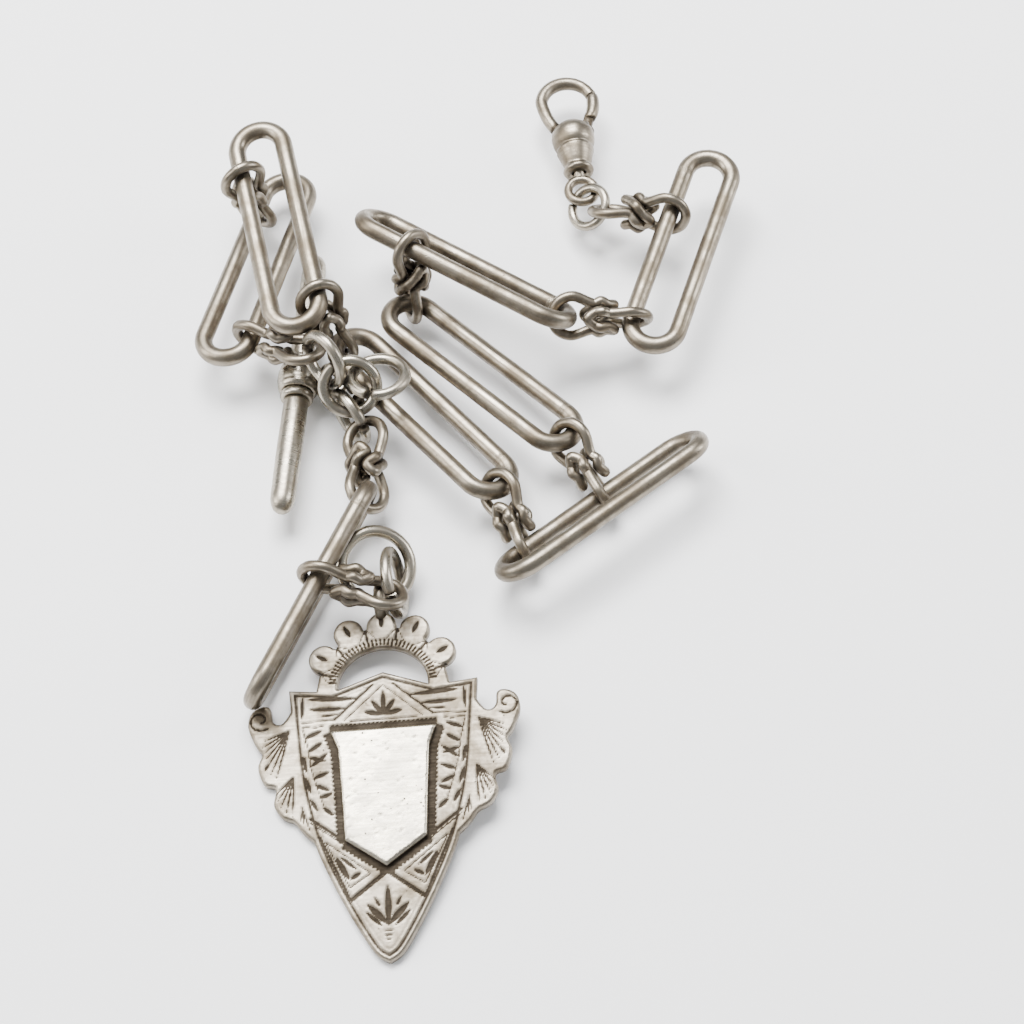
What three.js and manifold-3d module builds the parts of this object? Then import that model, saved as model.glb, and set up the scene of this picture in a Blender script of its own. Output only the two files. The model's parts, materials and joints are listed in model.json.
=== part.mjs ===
// A gentleman's pocket watch chain in silver, laid on a table: eight long oval links joined by knot
// links, with a swivel clasp at one end and a T-bar and an engraved shield fob at the other.
// Millimetres and degrees, +Z up. The table is z = 0, and at rest only the fob touches it.
import * as THREE from "three";
import { mergeVertices } from "three/addons/utils/BufferGeometryUtils.js";
import Module from "manifold-3d";

const wasm = await Module();
wasm.setup();

// ---- driving dimensions ----

const play = 0.25; // air between two wires that hang in each other
const fit = 0.2; // air round a pin, a stem or a piece in its seat
const seam = 0.05; // solder seam between two pieces that never move on each other

const trombone = { length: 29.5, width: 7.8, wire: 2.2 };
const knot = { length: 12.8, loop: 5.9, wire: 1.3, ball: 5.0, barrel: 1.5, skew: 28 };
const ring = { outer: 7.4, wire: 1.35, cut: 0.5 };
const dropRing = { outer: 8.2, wire: 1.35, cut: 0.5 };
const fobRing = { outer: 9.3, wire: 1.45, cut: 0.5 };
const claspRing = { outer: 6.0, wire: 1.2, cut: 0.5 };

const clasp = {
  hookWidth: 8.1,
  hookLength: 15,
  hookWire: 1.7,
  ball: 5.3,
  barrel: 4.6,
  mouth: 3.8,
  stem: 1.3,
  head: 2.1,
  headLength: 0.7,
  pin: 0.8,
  tang: 0.9,
  split: 0.25,
};
const eye = { outer: 4.4, wire: 1.1, reach: 2.3 };
const toggle = {
  length: 36,
  rod: 3,
  knop: 5,
  knopLength: 3.6,
  collar: 3.9,
  collarLength: 1,
  spigot: 1.4,
  spigotLength: 1.1,
  eyeOuter: 4.6,
  eyeWire: 1.2,
  eyeReach: 3.7,
};
const fob = {
  thickness: 1.1,
  shieldWidth: 20.5,
  shieldLength: 30.3,
  peak: 1.4,
  wingSpan: 29.4,
  wingLength: 15,
  archWidth: 14.8,
  archHeight: 7.2,
  lobe: 3.3,
  openingWidth: 9.8,
  openingHeight: 4.2,
  lugOuter: 4.6,
  lugWire: 1.3,
  lugReach: 9.7,
};
const cartouche = { width: 11.4, length: 15.1, drop: 5.2, thickness: 0.6 };

// ---- wires ----

const rad = THREE.MathUtils.degToRad;
const vec = (x, y, z) => new THREE.Vector3(x, y, z);

// A centreline given by its stations, so that bends get more of them than straight runs.
class WirePath extends THREE.Curve {
  constructor(stations, closed) {
    super();
    this.stations = stations;
    this.closed = closed;
  }

  station(index) {
    const count = this.stations.length;
    return this.closed
      ? this.stations[(index + count) % count]
      : this.stations[THREE.MathUtils.clamp(index, 0, count - 1)];
  }

  index(u) {
    return Math.round(u * (this.closed ? this.stations.length : this.stations.length - 1));
  }

  getPoint(t, target = vec(0, 0, 0)) {
    return target.copy(this.station(this.index(t)));
  }

  getPointAt(u, target) {
    return this.getPoint(u, target);
  }

  getTangentAt(u, target = vec(0, 0, 0)) {
    const at = this.index(u);
    return target.subVectors(this.station(at + 1), this.station(at - 1)).normalize();
  }
}

// A wire whose ends are soldered together: it runs all the way round, so the tube has no ends.
function closedWire(stations, diameter, sides) {
  return new THREE.TubeGeometry(new WirePath(stations, true), stations.length, diameter / 2, sides, true);
}

// A round wire or rod with two flat ends.
function openWire(stations, diameter, sides) {
  return new THREE.ExtrudeGeometry(new THREE.Shape(round(diameter / 2, sides)), {
    steps: stations.length - 1,
    bevelEnabled: false,
    extrudePath: new WirePath(stations, false),
  });
}

function round(radius, sides) {
  return Array.from({ length: sides }, (_, i) => {
    const turn = (2 * Math.PI * i) / sides;
    return new THREE.Vector2(Math.cos(turn), Math.sin(turn)).multiplyScalar(radius);
  });
}

function arc(from, to, steps, at) {
  return Array.from({ length: steps + 1 }, (_, i) => at(rad(from + ((to - from) * i) / steps)));
}

// ---- joining and cutting ----

function solid(geometry) {
  const bare = geometry.index ? geometry.toNonIndexed() : geometry.clone();
  bare.deleteAttribute("normal");
  bare.deleteAttribute("uv");
  const merged = mergeVertices(bare, 1e-4);
  return new wasm.Manifold(
    new wasm.Mesh({
      numProp: 3,
      vertProperties: merged.attributes.position.array,
      triVerts: new Uint32Array(merged.index.array),
    }),
  );
}

function geometryOf(body) {
  const mesh = body.getMesh();
  return new THREE.BufferGeometry()
    .setAttribute("position", new THREE.BufferAttribute(mesh.vertProperties, 3))
    .setIndex(new THREE.BufferAttribute(mesh.triVerts, 1));
}

const join = (...bodies) => bodies.reduce((all, body) => all.add(body));
const cut = (body, ...tools) => tools.reduce((left, tool) => left.subtract(tool), body);
const moved = (geometry, x, y, z) => geometry.translate(x, y, z);

// A piece turned on the X axis from a profile of [x, radius] pairs that starts and ends on the axis.
function onLathe(profile, sides = 20) {
  const points = profile.map(([x, radius]) => new THREE.Vector2(radius, x));
  return solid(new THREE.LatheGeometry(points, sides).rotateZ(-Math.PI / 2));
}

// A straight round bore or bar along X, from one end to the other.
function alongX(diameter, from, to, sides = 16) {
  const bar = new THREE.CylinderGeometry(diameter / 2, diameter / 2, to - from, sides);
  return solid(moved(bar.rotateZ(-Math.PI / 2), (from + to) / 2, 0, 0));
}

// The same along Z, at a place of its own.
function alongZ(diameter, length, x, y, sides = 16) {
  const bar = new THREE.CylinderGeometry(diameter / 2, diameter / 2, length, sides);
  return solid(moved(bar.rotateX(Math.PI / 2), x, y, 0));
}

// A flat piece cut from sheet, its underside on z = 0.
function sheet(shape, thickness) {
  const settings = { depth: thickness, bevelEnabled: false, curveSegments: 6 };
  return solid(new THREE.ExtrudeGeometry(shape, settings));
}

const mirrored = (points) => points.map(([x, y]) => [-x, y]).reverse();
const flat = (points) => points.map(([x, y]) => new THREE.Vector2(x, y));

// ---- link shapes, each with the spots where another wire can hang in it ----
// A spot is a point of the centreline, the wire's direction there and the way into the hole.

// Long oval link along X, in the XY plane.
function tromboneShape(size) {
  const radius = (size.width - size.wire) / 2;
  const reach = (size.length - size.width) / 2;
  const endPoint = (side) => (a) =>
    vec(side * (reach + radius * Math.cos(a)), side * radius * Math.sin(a), 0);
  return {
    wire: size.wire,
    geometry: () =>
      closedWire([...arc(-90, 90, 8, endPoint(1)), ...arc(-90, 90, 8, endPoint(-1))], size.wire, 8),
    // round the end at +X or -X; turn runs from its tip towards +Y
    end: (side, turn) => {
      const out = vec(side * Math.cos(rad(turn)), Math.sin(rad(turn)), 0);
      return {
        point: vec(side * reach, 0, 0).addScaledVector(out, radius),
        tangent: vec(-out.y, out.x, 0),
        inward: out.clone().negate(),
      };
    },
    // on the straight bar at +Y or -Y
    bar: (side, along) => ({
      point: vec(along, side * radius, 0),
      tangent: vec(1, 0, 0),
      inward: vec(0, -side, 0),
    }),
  };
}

// Knot link along X, bent from one closed wire: an end loop in the XZ plane at -X, one in the XY plane
// at +X, and between them six strands that lie on a barrel and turn back beside the loops.
// skew is how far the loop at +X is bent round X from the XY plane, as hand-bent links are.
function knotShape(size, skew) {
  const tip = (size.length - size.wire) / 2;
  const radius = (size.loop - size.wire) / 2;
  const neck = tip - radius;
  const waist = (size.ball - size.wire) / 2;
  const mouth = 0.82 * waist;
  const edge = size.barrel / 2;
  const bend = edge + 0.9;
  const polar = (x, r, turn) => vec(x, r * Math.cos(rad(turn)), r * Math.sin(rad(turn)));
  const slant = radius * Math.SQRT1_2;
  // half of the wire, between the tips of the two loops
  const halfway = (turn) => [
    polar(-neck - slant, slant, turn + 90),
    polar(-neck, radius, turn + 90),
    polar(-edge, mouth, turn + 90),
    polar(0, waist, turn + 105 + skew / 2),
    polar(edge, mouth, turn + 120 + skew),
    polar(bend, mouth, turn + 90 + skew),
    polar(edge, mouth, turn + 60 + skew),
    polar(0, waist, turn + 45 + skew / 2),
    polar(-edge, mouth, turn + 30),
    polar(-bend, mouth, turn),
    polar(-edge, mouth, turn - 30),
    polar(0, waist, turn - 15 + skew / 2),
    polar(edge, mouth, turn + skew),
    polar(neck, radius, turn + skew),
    polar(neck + slant, slant, turn + skew),
  ];
  const route = [vec(-tip, 0, 0), ...halfway(0), vec(tip, 0, 0), ...halfway(180).reverse()];
  const curve = new THREE.CatmullRomCurve3(route, true, "centripetal");
  const steps = 2 * route.length;
  return {
    wire: size.wire,
    geometry: () =>
      closedWire(
        Array.from({ length: steps }, (_, i) => curve.getPoint(i / steps)),
        size.wire,
        6,
      ),
    // round the loop at +X or -X; turn runs from its tip
    loop: (side, turn) => {
      const across = polar(0, 1, side > 0 ? skew : 90);
      const out = vec(side * Math.cos(rad(turn)), 0, 0).addScaledVector(across, Math.sin(rad(turn)));
      return {
        point: vec(side * neck, 0, 0).addScaledVector(out, radius),
        tangent: vec(-side * Math.sin(rad(turn)), 0, 0).addScaledVector(across, Math.cos(rad(turn))),
        inward: out.clone().negate(),
      };
    },
  };
}

// Open jump ring in the XY plane, its cut at -X.
function ringShape(size) {
  const radius = (size.outer - size.wire) / 2;
  const opening = THREE.MathUtils.radToDeg(size.cut / radius) / 2;
  const at = (a) => vec(radius * Math.cos(a), radius * Math.sin(a), 0);
  return {
    wire: size.wire,
    geometry: () => openWire(arc(-180 + opening, 180 - opening, 16, at), size.wire, 8),
    at: (turn) => {
      const out = at(rad(turn)).normalize();
      return { point: at(rad(turn)), tangent: vec(-out.y, out.x, 0), inward: out.clone().negate() };
    },
  };
}

// An eye soldered to a piece, as a ring about its centre in the plane of across and up.
function eyeShape(centre, across, up, outer, wire) {
  const radius = (outer - wire) / 2;
  const at = (a) =>
    centre
      .clone()
      .addScaledVector(across, radius * Math.cos(a))
      .addScaledVector(up, radius * Math.sin(a));
  return {
    body: () => solid(closedWire(arc(0, 337.5, 15, at), wire, 8)),
    at: (turn) => {
      const out = at(rad(turn)).sub(centre).normalize();
      const tangent = at(rad(turn + 90)).sub(centre).normalize();
      return { point: at(rad(turn)), tangent, inward: out.negate() };
    },
  };
}

// ---- T-bar, along X, its eye at -Y ----

const toggleEye = eyeShape(
  vec(0, -toggle.eyeReach, 0),
  vec(0, -1, 0),
  vec(1, 0, 0),
  toggle.eyeOuter,
  toggle.eyeWire,
);

function knopBody() {
  const half = toggle.knopLength / 2;
  const widest = toggle.knop / 2;
  const face = toggle.collar / 2 - seam;
  const ball = onLathe([
    [-half, 0],
    [-half, face],
    [-0.6 * half, 0.93 * widest],
    [0, widest],
    [0.6 * half, 0.93 * widest],
    [half, face],
    [half, 0],
  ]);
  const bore = (side) => {
    const mouth = side * (half + fit);
    const bottom = side * (half - toggle.spigotLength - fit);
    return alongX(toggle.spigot + 2 * seam, Math.min(mouth, bottom), Math.max(mouth, bottom));
  };
  return cut(join(ball, cut(toggleEye.body(), alongX(2 * face, -half, half))), bore(-1), bore(1));
}

// Bead between the knop and an arm, drawn for the arm at +X.
function collarBody() {
  const from = toggle.knopLength / 2 + seam;
  const to = from + toggle.collarLength;
  const edge = toggle.collar / 2 - toggle.collarLength / 4;
  const bead = onLathe([
    [from, 0],
    [from, edge],
    [(from + to) / 2, toggle.collar / 2],
    [to, edge],
    [to, 0],
  ]);
  return cut(bead, alongX(toggle.spigot + 2 * seam, from - fit, to + fit));
}

// Arm at +X: a rod with a domed end and a spigot that runs through the collar into the knop.
function armBody() {
  const root = toggle.knopLength / 2 - toggle.spigotLength;
  const shoulder = toggle.knopLength / 2 + toggle.collarLength + 2 * seam;
  const end = toggle.length / 2;
  const radius = toggle.rod / 2;
  return onLathe([
    [root, 0],
    [root, toggle.spigot / 2],
    [shoulder, toggle.spigot / 2],
    [shoulder, 0.94 * radius],
    [(shoulder + end) / 2, radius],
    [end - 0.5 * radius, 0.94 * radius],
    [end - 0.15 * radius, 0.72 * radius],
    [end, 0.4 * radius],
    [end, 0],
  ]);
}

// ---- swivel clasp, along X, its gate at -Y ----

const swivelEye = eyeShape(vec(-eye.reach, 0, 0), vec(1, 0, 0), vec(0, 1, 0), eye.outer, eye.wire);
const barrelEnd = { x: fit, length: 3.7 };
const headFrom = 2.2;
const ballCentre = 5.8;
const ballHalf = 1.9;
const pinSpot = { x: 6.3, y: -1.6 };

function swivelBody() {
  const ringEdge = -eye.reach + (eye.outer - eye.wire) / 2;
  return join(
    swivelEye.body(),
    alongX(clasp.stem, ringEdge, headFrom + fit),
    alongX(clasp.head, headFrom, headFrom + clasp.headLength),
  );
}

// The hook's centreline: from the ball round the bow and down to where the gate meets it.
function hookLine() {
  const radius = (clasp.hookWidth - clasp.hookWire) / 2;
  const centre = clasp.hookLength - clasp.hookWidth / 2;
  const bow = arc(80, -80, 12, (a) => vec(centre + radius * Math.cos(a), radius * Math.sin(a), 0));
  const foot = vec(ballCentre + 0.4, 0.3 * clasp.ball, 0);
  return { bow, foot, centre, radius };
}

function claspBody() {
  const { bow, foot } = hookLine();
  const barrelTop = barrelEnd.x + barrelEnd.length;
  const turnedPart = onLathe([
    [barrelEnd.x, 0],
    [barrelEnd.x, 0.86 * (clasp.mouth / 2)],
    [barrelEnd.x + 0.5, clasp.mouth / 2],
    [barrelEnd.x + 1.0, 0.86 * (clasp.mouth / 2)],
    [barrelEnd.x + 1.3, 0.8 * (clasp.mouth / 2)],
    [barrelEnd.x + 1.6, 0.9 * (clasp.mouth / 2)],
    [barrelTop - 0.4, clasp.barrel / 2],
    [barrelTop, 0.84 * (clasp.barrel / 2)],
    [ballCentre - 0.75 * ballHalf, 0.84 * (clasp.ball / 2)],
    [ballCentre, clasp.ball / 2],
    [ballCentre + 0.5 * ballHalf, 0.87 * (clasp.ball / 2)],
    [ballCentre + 0.85 * ballHalf, 0.55 * (clasp.ball / 2)],
    [ballCentre + ballHalf, 0],
  ]);
  const middle = foot.clone().lerp(bow[0], 0.5).add(vec(0, 0.25, 0));
  const hook = solid(openWire([foot, middle, ...bow], clasp.hookWire, 10));
  const chamber = join(
    alongX(clasp.stem + 2 * fit, 0, headFrom),
    alongX(clasp.head + 2 * fit, headFrom - fit, headFrom + clasp.headLength + fit),
  );
  const slot = tangSlot();
  const pinBore = alongZ(clasp.pin + 2 * seam, 2 * clasp.ball, pinSpot.x, pinSpot.y);
  return cut(join(turnedPart, hook), chamber, slot, pinBore, splitCut(false));
}

// Room for the tang round the pin and out towards the gate, through its whole swing.
function tangSlot() {
  const width = clasp.tang + 2 * fit;
  const room = 2 * (1.1 + fit);
  const reach = new THREE.BoxGeometry(clasp.ball, room + 1.2, width);
  return join(
    alongZ(room, width, pinSpot.x, pinSpot.y, 20),
    solid(moved(reach, pinSpot.x + clasp.ball / 2, pinSpot.y + 0.6, 0)),
    solid(moved(new THREE.BoxGeometry(room, room, width), pinSpot.x, pinSpot.y - room / 2, 0)),
  );
}

// What lies past the slanting split where the gate shuts, taken off the gate or off the hook.
function splitCut(back) {
  const { centre, radius } = hookLine();
  const side = back ? 1 : -1;
  const block = new THREE.BoxGeometry(3, 4 * clasp.hookWire, 2 * clasp.hookWire);
  block.translate(side * (1.5 - clasp.split / 2), 0, 0);
  block.rotateZ(rad(-30));
  return solid(moved(block, centre + 0.3, -radius, 0));
}

function gateBody() {
  const { centre, radius } = hookLine();
  const root = vec(pinSpot.x + 2.1, pinSpot.y - 0.8, 0);
  const middle = vec((root.x + centre) / 2, -0.93 * radius, 0);
  const tip = vec(centre + 1.6, -radius, 0);
  const wire = solid(openWire([root, middle, vec(centre, -radius, 0), tip], 0.94 * clasp.hookWire, 10));
  const link = new THREE.BoxGeometry(2.4, 1.3, clasp.tang).rotateZ(rad(-20));
  const tang = join(
    alongZ(2.2, clasp.tang, pinSpot.x, pinSpot.y, 20),
    solid(moved(link, pinSpot.x + 1.2, pinSpot.y - 0.4, 0)),
  );
  const bore = alongZ(clasp.pin + 2 * fit, 2 * clasp.tang, pinSpot.x, pinSpot.y);
  return cut(join(wire, tang), bore, splitCut(true));
}

function gatePinBody() {
  const rise = pinSpot.x - ballCentre;
  const reach = Math.sqrt((clasp.ball / 2) ** 2 - rise ** 2 - pinSpot.y ** 2);
  return alongZ(clasp.pin, 2 * reach - 0.3, pinSpot.x, pinSpot.y);
}

// ---- engraved fob, its shield hanging towards -Y, face up ----

const fobLug = eyeShape(
  vec(0, fob.lugReach, fob.thickness / 2),
  vec(0, 1, 0),
  vec(0, 0, 1),
  fob.lugOuter,
  fob.lugWire,
);

function shieldOutline() {
  const half = fob.shieldWidth / 2;
  const side = [
    [half, 0],
    [0.96 * half, -0.16 * fob.shieldLength],
    [0.9 * half, -0.35 * fob.shieldLength],
    [0.75 * half, -0.56 * fob.shieldLength],
    [0.57 * half, -0.71 * fob.shieldLength],
    [0.29 * half, -0.89 * fob.shieldLength],
    [0.12 * half, -0.975 * fob.shieldLength],
  ];
  const top = [
    [-0.54 * half, -0.35 * fob.peak],
    [0, fob.peak],
    [0.54 * half, -0.35 * fob.peak],
  ];
  return new THREE.Shape(flat([...top, ...side, [0, -fob.shieldLength], ...mirrored(side)]));
}

// Scrolled wing at +X, lobed down its outer edge; x runs out from the shield, y down from the top edge.
function wingOutline(side) {
  const out = fob.wingSpan / 2 - fob.shieldWidth / 2;
  const at = (x, y) => new THREE.Vector2(side * (fob.shieldWidth / 2 + out * x), -fob.wingLength * y);
  const edge = [
    at(-0.1, 0.14),
    at(0.2, 0.25),
    at(0.42, 0.21),
    at(0.45, 0.13),
    at(0.72, 0.11),
    at(0.96, 0.17),
    at(1, 0.25),
    at(0.78, 0.42),
    at(0.66, 0.47),
    at(0.76, 0.56),
    at(0.62, 0.69),
    at(0.32, 0.74),
    at(0.38, 0.84),
    at(0.2, 0.94),
    at(-0.12, 0.99),
    at(-0.3, 1.06),
    at(-0.5, 1.12),
    at(-0.75, 1.17),
  ];
  const curve = new THREE.SplineCurve(edge).getPoints(3 * (edge.length - 1));
  return new THREE.Shape([...curve, at(-1.5, 1), at(-1, 0.14)]);
}

// Band of the arch over the shield, before fobBody adds its lobes and cuts its opening.
function archOutline() {
  const arch = new THREE.Shape();
  const [width, height] = [fob.archWidth / 2, fob.archHeight];
  arch.moveTo(-width, -1);
  arch.lineTo(-0.93 * width, 0.2 * height);
  arch.absellipse(0, 0, 0.93 * width, 0.93 * height, Math.PI * 0.93, Math.PI * 0.07, true);
  arch.lineTo(width, -1);
  arch.closePath();
  return arch;
}

function fobBody() {
  const [width, height] = [fob.archWidth / 2, fob.archHeight];
  const lobe = (turn, reach) => {
    const shape = new THREE.Shape();
    const x = reach * width * Math.cos(rad(turn));
    const y = reach * height * Math.sin(rad(turn));
    shape.absarc(x, y, fob.lobe / 2, 0, 2 * Math.PI);
    return sheet(shape, fob.thickness);
  };
  const opening = new THREE.Shape();
  opening.absellipse(0, 0, fob.openingWidth / 2, fob.openingHeight, 0, Math.PI);
  opening.lineTo(-fob.openingWidth / 2, -fob.peak);
  opening.lineTo(fob.openingWidth / 2, -fob.peak);
  const cutter = new THREE.ExtrudeGeometry(opening, { depth: 3, bevelEnabled: false });
  const throughOpening = moved(cutter, 0, 0, -1);
  const arch = join(
    sheet(archOutline(), fob.thickness),
    ...[28, 60, 90, 120, 152].map((turn) => lobe(turn, turn === 90 ? 0.93 : 0.98)),
  );
  const wings = [-1, 1].map((side) => sheet(wingOutline(side), fob.thickness));
  const plate = join(sheet(shieldOutline(), fob.thickness), ...wings);
  return join(cut(arch, solid(throughOpening)), plate, fobLug.body());
}

function cartoucheBody() {
  const half = cartouche.width / 2;
  const side = [
    [half, 0],
    [0.86 * half, -0.14 * cartouche.length],
    [0.8 * half, -0.5 * cartouche.length],
    [0.76 * half, -0.8 * cartouche.length],
  ];
  const around = flat([...side, [0, -cartouche.length], ...mirrored(side)]);
  const outline = around.map((p) => p.setY(p.y - cartouche.drop));
  return sheet(new THREE.Shape(outline), cartouche.thickness).translate([0, 0, fob.thickness + seam]);
}

// ---- laying the chain ----

const silver = { color: 0x9c9486, roughness: 0.36, metalness: 1 };
const brightSilver = { color: 0xc9c6b8, roughness: 0.28, metalness: 1 };
const steel = { color: 0x77777a, roughness: 0.35, metalness: 1 };

const chain = new THREE.Group();
chain.name = "pocket_watch_chain";

function meshOf(name, geometry, finish = silver) {
  const mesh = new THREE.Mesh(geometry, new THREE.MeshStandardMaterial(finish));
  mesh.name = name;
  return mesh;
}

// heading is where +X points seen from above, pitch lifts +X, roll turns the piece about its own X.
function turned(piece, heading, pitch, roll) {
  piece.rotation.set(rad(roll), rad(-pitch), rad(heading), "ZYX");
  return piece;
}

// Turns a flat piece in its own plane by spin, then leans its face over by tilt towards a heading.
function faced(piece, towards, tilt, spin) {
  const hingeLine = vec(-Math.sin(rad(towards)), Math.cos(rad(towards)), 0);
  piece.quaternion.setFromAxisAngle(hingeLine, rad(tilt));
  piece.rotateZ(rad(spin));
  return piece;
}

function longLink(name, heading, pitch, roll) {
  const mesh = turned(meshOf(name, oval.geometry()), heading, pitch, roll);
  mesh.userData.wire = oval.wire;
  chain.add(mesh);
  return mesh;
}

function jumpRing(name, shape, towards, tilt, spin, finish = brightSilver) {
  const mesh = faced(meshOf(name, shape.geometry(), finish), towards, tilt, spin);
  mesh.userData.wire = shape.wire;
  chain.add(mesh);
  return mesh;
}

// A piece put together from several bodies that hangs by a wire of its own.
function assembly(name, wire) {
  const group = new THREE.Group();
  group.name = name;
  group.userData.wire = wire;
  chain.add(group);
  return group;
}

function placed(piece, spot) {
  return {
    point: spot.point.clone().applyQuaternion(piece.quaternion).add(piece.position),
    tangent: spot.tangent.clone().applyQuaternion(piece.quaternion),
    inward: spot.inward.clone().applyQuaternion(piece.quaternion),
  };
}

// Moves a piece so that its wire at spot hooks into the holder's wire at holderSpot, a little air apart.
function hang(piece, spot, holder, holderSpot) {
  piece.position.set(0, 0, 0);
  const own = placed(piece, spot);
  const holding = placed(holder, holderSpot);
  const across = holding.tangent.clone().cross(own.tangent).normalize();
  if (across.dot(holding.inward) < 0) across.negate();
  const apart = (piece.userData.wire + holder.userData.wire) / 2 + play;
  piece.position.copy(holding.point).addScaledVector(across, apart).sub(own.point);
}

// Lays the next piece at the other end of a knot link. The knot runs from the holder's spot along a
// heading and climbs by rise degrees. It is rolled, and its loops are bent against each other, so that
// both stand as square as they can to the wires they hold.
function knotTo(name, holder, holderSpot, next, nextSpot, heading, rise) {
  const from = placed(holder, holderSpot);
  next.position.set(0, 0, 0);
  const to = placed(next, nextSpot);
  const holdBehind = (knot.wire + holder.userData.wire) / 2 + play;
  const holdAhead = (knot.wire + next.userData.wire) / 2 + play;
  const span = knot.length - knot.wire - holdBehind - holdAhead;
  const along = vec(Math.cos(rad(heading)), Math.sin(rad(heading)), Math.tan(rad(rise))).normalize();
  next.position.copy(from.point).addScaledVector(along, span).sub(to.point);
  const level = vec(0, 0, 1).cross(along).normalize();
  const upright = along.clone().cross(level);
  const angle = (tangent) => THREE.MathUtils.radToDeg(Math.atan2(tangent.dot(upright), tangent.dot(level)));
  const twist = THREE.MathUtils.euclideanModulo(angle(to.tangent) - angle(from.tangent), 180) - 90;
  const skew = THREE.MathUtils.clamp(twist, -knot.skew, knot.skew);
  const mesh = meshOf(name, knotShape(knot, skew).geometry());
  mesh.quaternion.setFromRotationMatrix(new THREE.Matrix4().makeBasis(along, level, upright));
  mesh.rotateX(rad(angle(from.tangent) + (twist - skew) / 2));
  mesh.position.copy(from.point).addScaledVector(along, knot.length / 2 - knot.wire / 2 - holdBehind);
  mesh.userData.wire = knot.wire;
  chain.add(mesh);
  return mesh;
}

const oval = tromboneShape(trombone);
const jump = ringShape(ring);
const wideJump = ringShape(fobRing);
const fineJump = ringShape(claspRing);
const drop = ringShape(dropRing);

// The spot of a long link's end that faces a heading.
function squareEnd(piece, side, heading) {
  const ahead = THREE.MathUtils.radToDeg(piece.rotation.z) + (side > 0 ? 0 : 180);
  const turn = THREE.MathUtils.euclideanModulo(heading - ahead + 180, 360) - 180;
  return oval.end(side, side * turn);
}

// a knot's loop wraps the wire it holds, so that wire lies at least this high
const held = 2.7;

// How the chain lies. These headings, tilts, rolls and places on the wires are not sizes: a search fitted
// them to the photograph's view and they were then rounded. From the middle of the chain to the T-bar:
const trombone4 = longLink("trombone_4", 38, 0, -50);
trombone4.position.set(10.1, -1.7, held + 2.8 * Math.sin(rad(50)));
const trombone5 = longLink("trombone_5", -47.2, 0.9, -17.8);
knotTo("knot_5", trombone4, oval.bar(1, -9.4), trombone5, squareEnd(trombone5, 1, -58.3), 114.7, 11.5);
const trombone6 = longLink("trombone_6", -76.9, -2.5, 8);
knotTo("knot_6", trombone5, squareEnd(trombone5, -1, 147), trombone6, oval.bar(1, 10.8), 145.7, 70.8);
const trombone7 = longLink("trombone_7", -104.9, 3.8, 7.9);
knotTo("knot_7", trombone6, oval.bar(-1, -7.7), trombone7, oval.bar(-1, -8.2), 27.9, -82.1);
const ringA = jumpRing("ring_1", jump, -139.5, 76.6, -47.4);
knotTo("knot_8", trombone7, oval.bar(1, 10.2), ringA, jump.at(202.5), -26.4, 17);
const ringB = jumpRing("ring_2", jump, -82.6, 45.2, -57.1);
hang(ringB, jump.at(203), ringA, jump.at(-13));
const ringC = jumpRing("ring_3", jump, -136.5, 87.8, -186.2);
hang(ringC, jump.at(-106.2), ringA, jump.at(-70.5));
const ringD = jumpRing("ring_4", jump, 102.9, 16.8, 73.5);
hang(ringD, jump.at(80.1), ringB, jump.at(127.7));
const ringE = jumpRing("ring_5", jump, 36.7, 91.9, 95.9);
hang(ringE, jump.at(92.9), ringB, jump.at(-69));
const crossbar = assembly("t_bar", toggle.eyeWire);
turned(crossbar, 86.3, -3.2, -1.2);
hang(crossbar, toggleEye.at(-96.2), ringC, jump.at(0.7));
const trombone8 = longLink("trombone_8", -115.1, -2.1, 77.4);
knotTo("knot_9", ringE, jump.at(200.6), trombone8, oval.end(-1, -10.9), -86.5, 0.3);
const ringF = jumpRing("ring_6", drop, 4.8, 76.5, 54.8);
knotTo("knot_10", trombone8, oval.bar(1, -1.1), ringF, drop.at(177.6), -12.9, -6.4);
const ringG = jumpRing("fob_ring", wideJump, -45.6, 25.8, 61.5);
hang(ringG, wideJump.at(-71.4), ringF, drop.at(-12.1));
const shield = assembly("fob", fob.lugWire);
faced(shield, 34.2, -5.8, 2.7);
hang(shield, fobLug.at(65.6), ringG, wideJump.at(-147.9));

// and towards the clasp
const trombone3 = longLink("trombone_3", -42.4, 1.8, -14.5);
knotTo("knot_4", trombone4, oval.bar(1, 1.7), trombone3, oval.end(1, -3.5), 123, 14.7);
const trombone2 = longLink("trombone_2", -30.7, -0.8, -42.3);
knotTo("knot_3", trombone3, squareEnd(trombone3, -1, 94), trombone2, oval.bar(-1, -6), 86.8, 68.1);
const trombone1 = longLink("trombone_1", -108.7, -1.6, 0.6);
knotTo("knot_2", trombone2, squareEnd(trombone2, 1, 0.1), trombone1, oval.bar(-1, 10.8), 2.6, -7.5);
const ringJ = jumpRing("clasp_ring", fineJump, 199.1, 218.3, 247.8);
knotTo("knot_1", trombone1, oval.bar(-1, -4.4), ringJ, fineJump.at(0.1), 169.3, -10.3);
const swivel = assembly("swivel", eye.wire);
turned(swivel, 97, 0, 60);
hang(swivel, swivelEye.at(190.2), ringJ, fineJump.at(202.7));
const hook = assembly("clasp", clasp.hookWire);
const gate = assembly("gate", clasp.hookWire);
for (const piece of [hook, gate]) {
  piece.rotation.set(0, swivel.rotation.y, swivel.rotation.z, "ZYX");
  piece.position.copy(swivel.position);
}

// what the four assemblies are made of
function fitted(group, name, body, finish = silver) {
  const mesh = meshOf(name, geometryOf(body), finish);
  group.add(mesh);
  return mesh;
}

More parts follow.
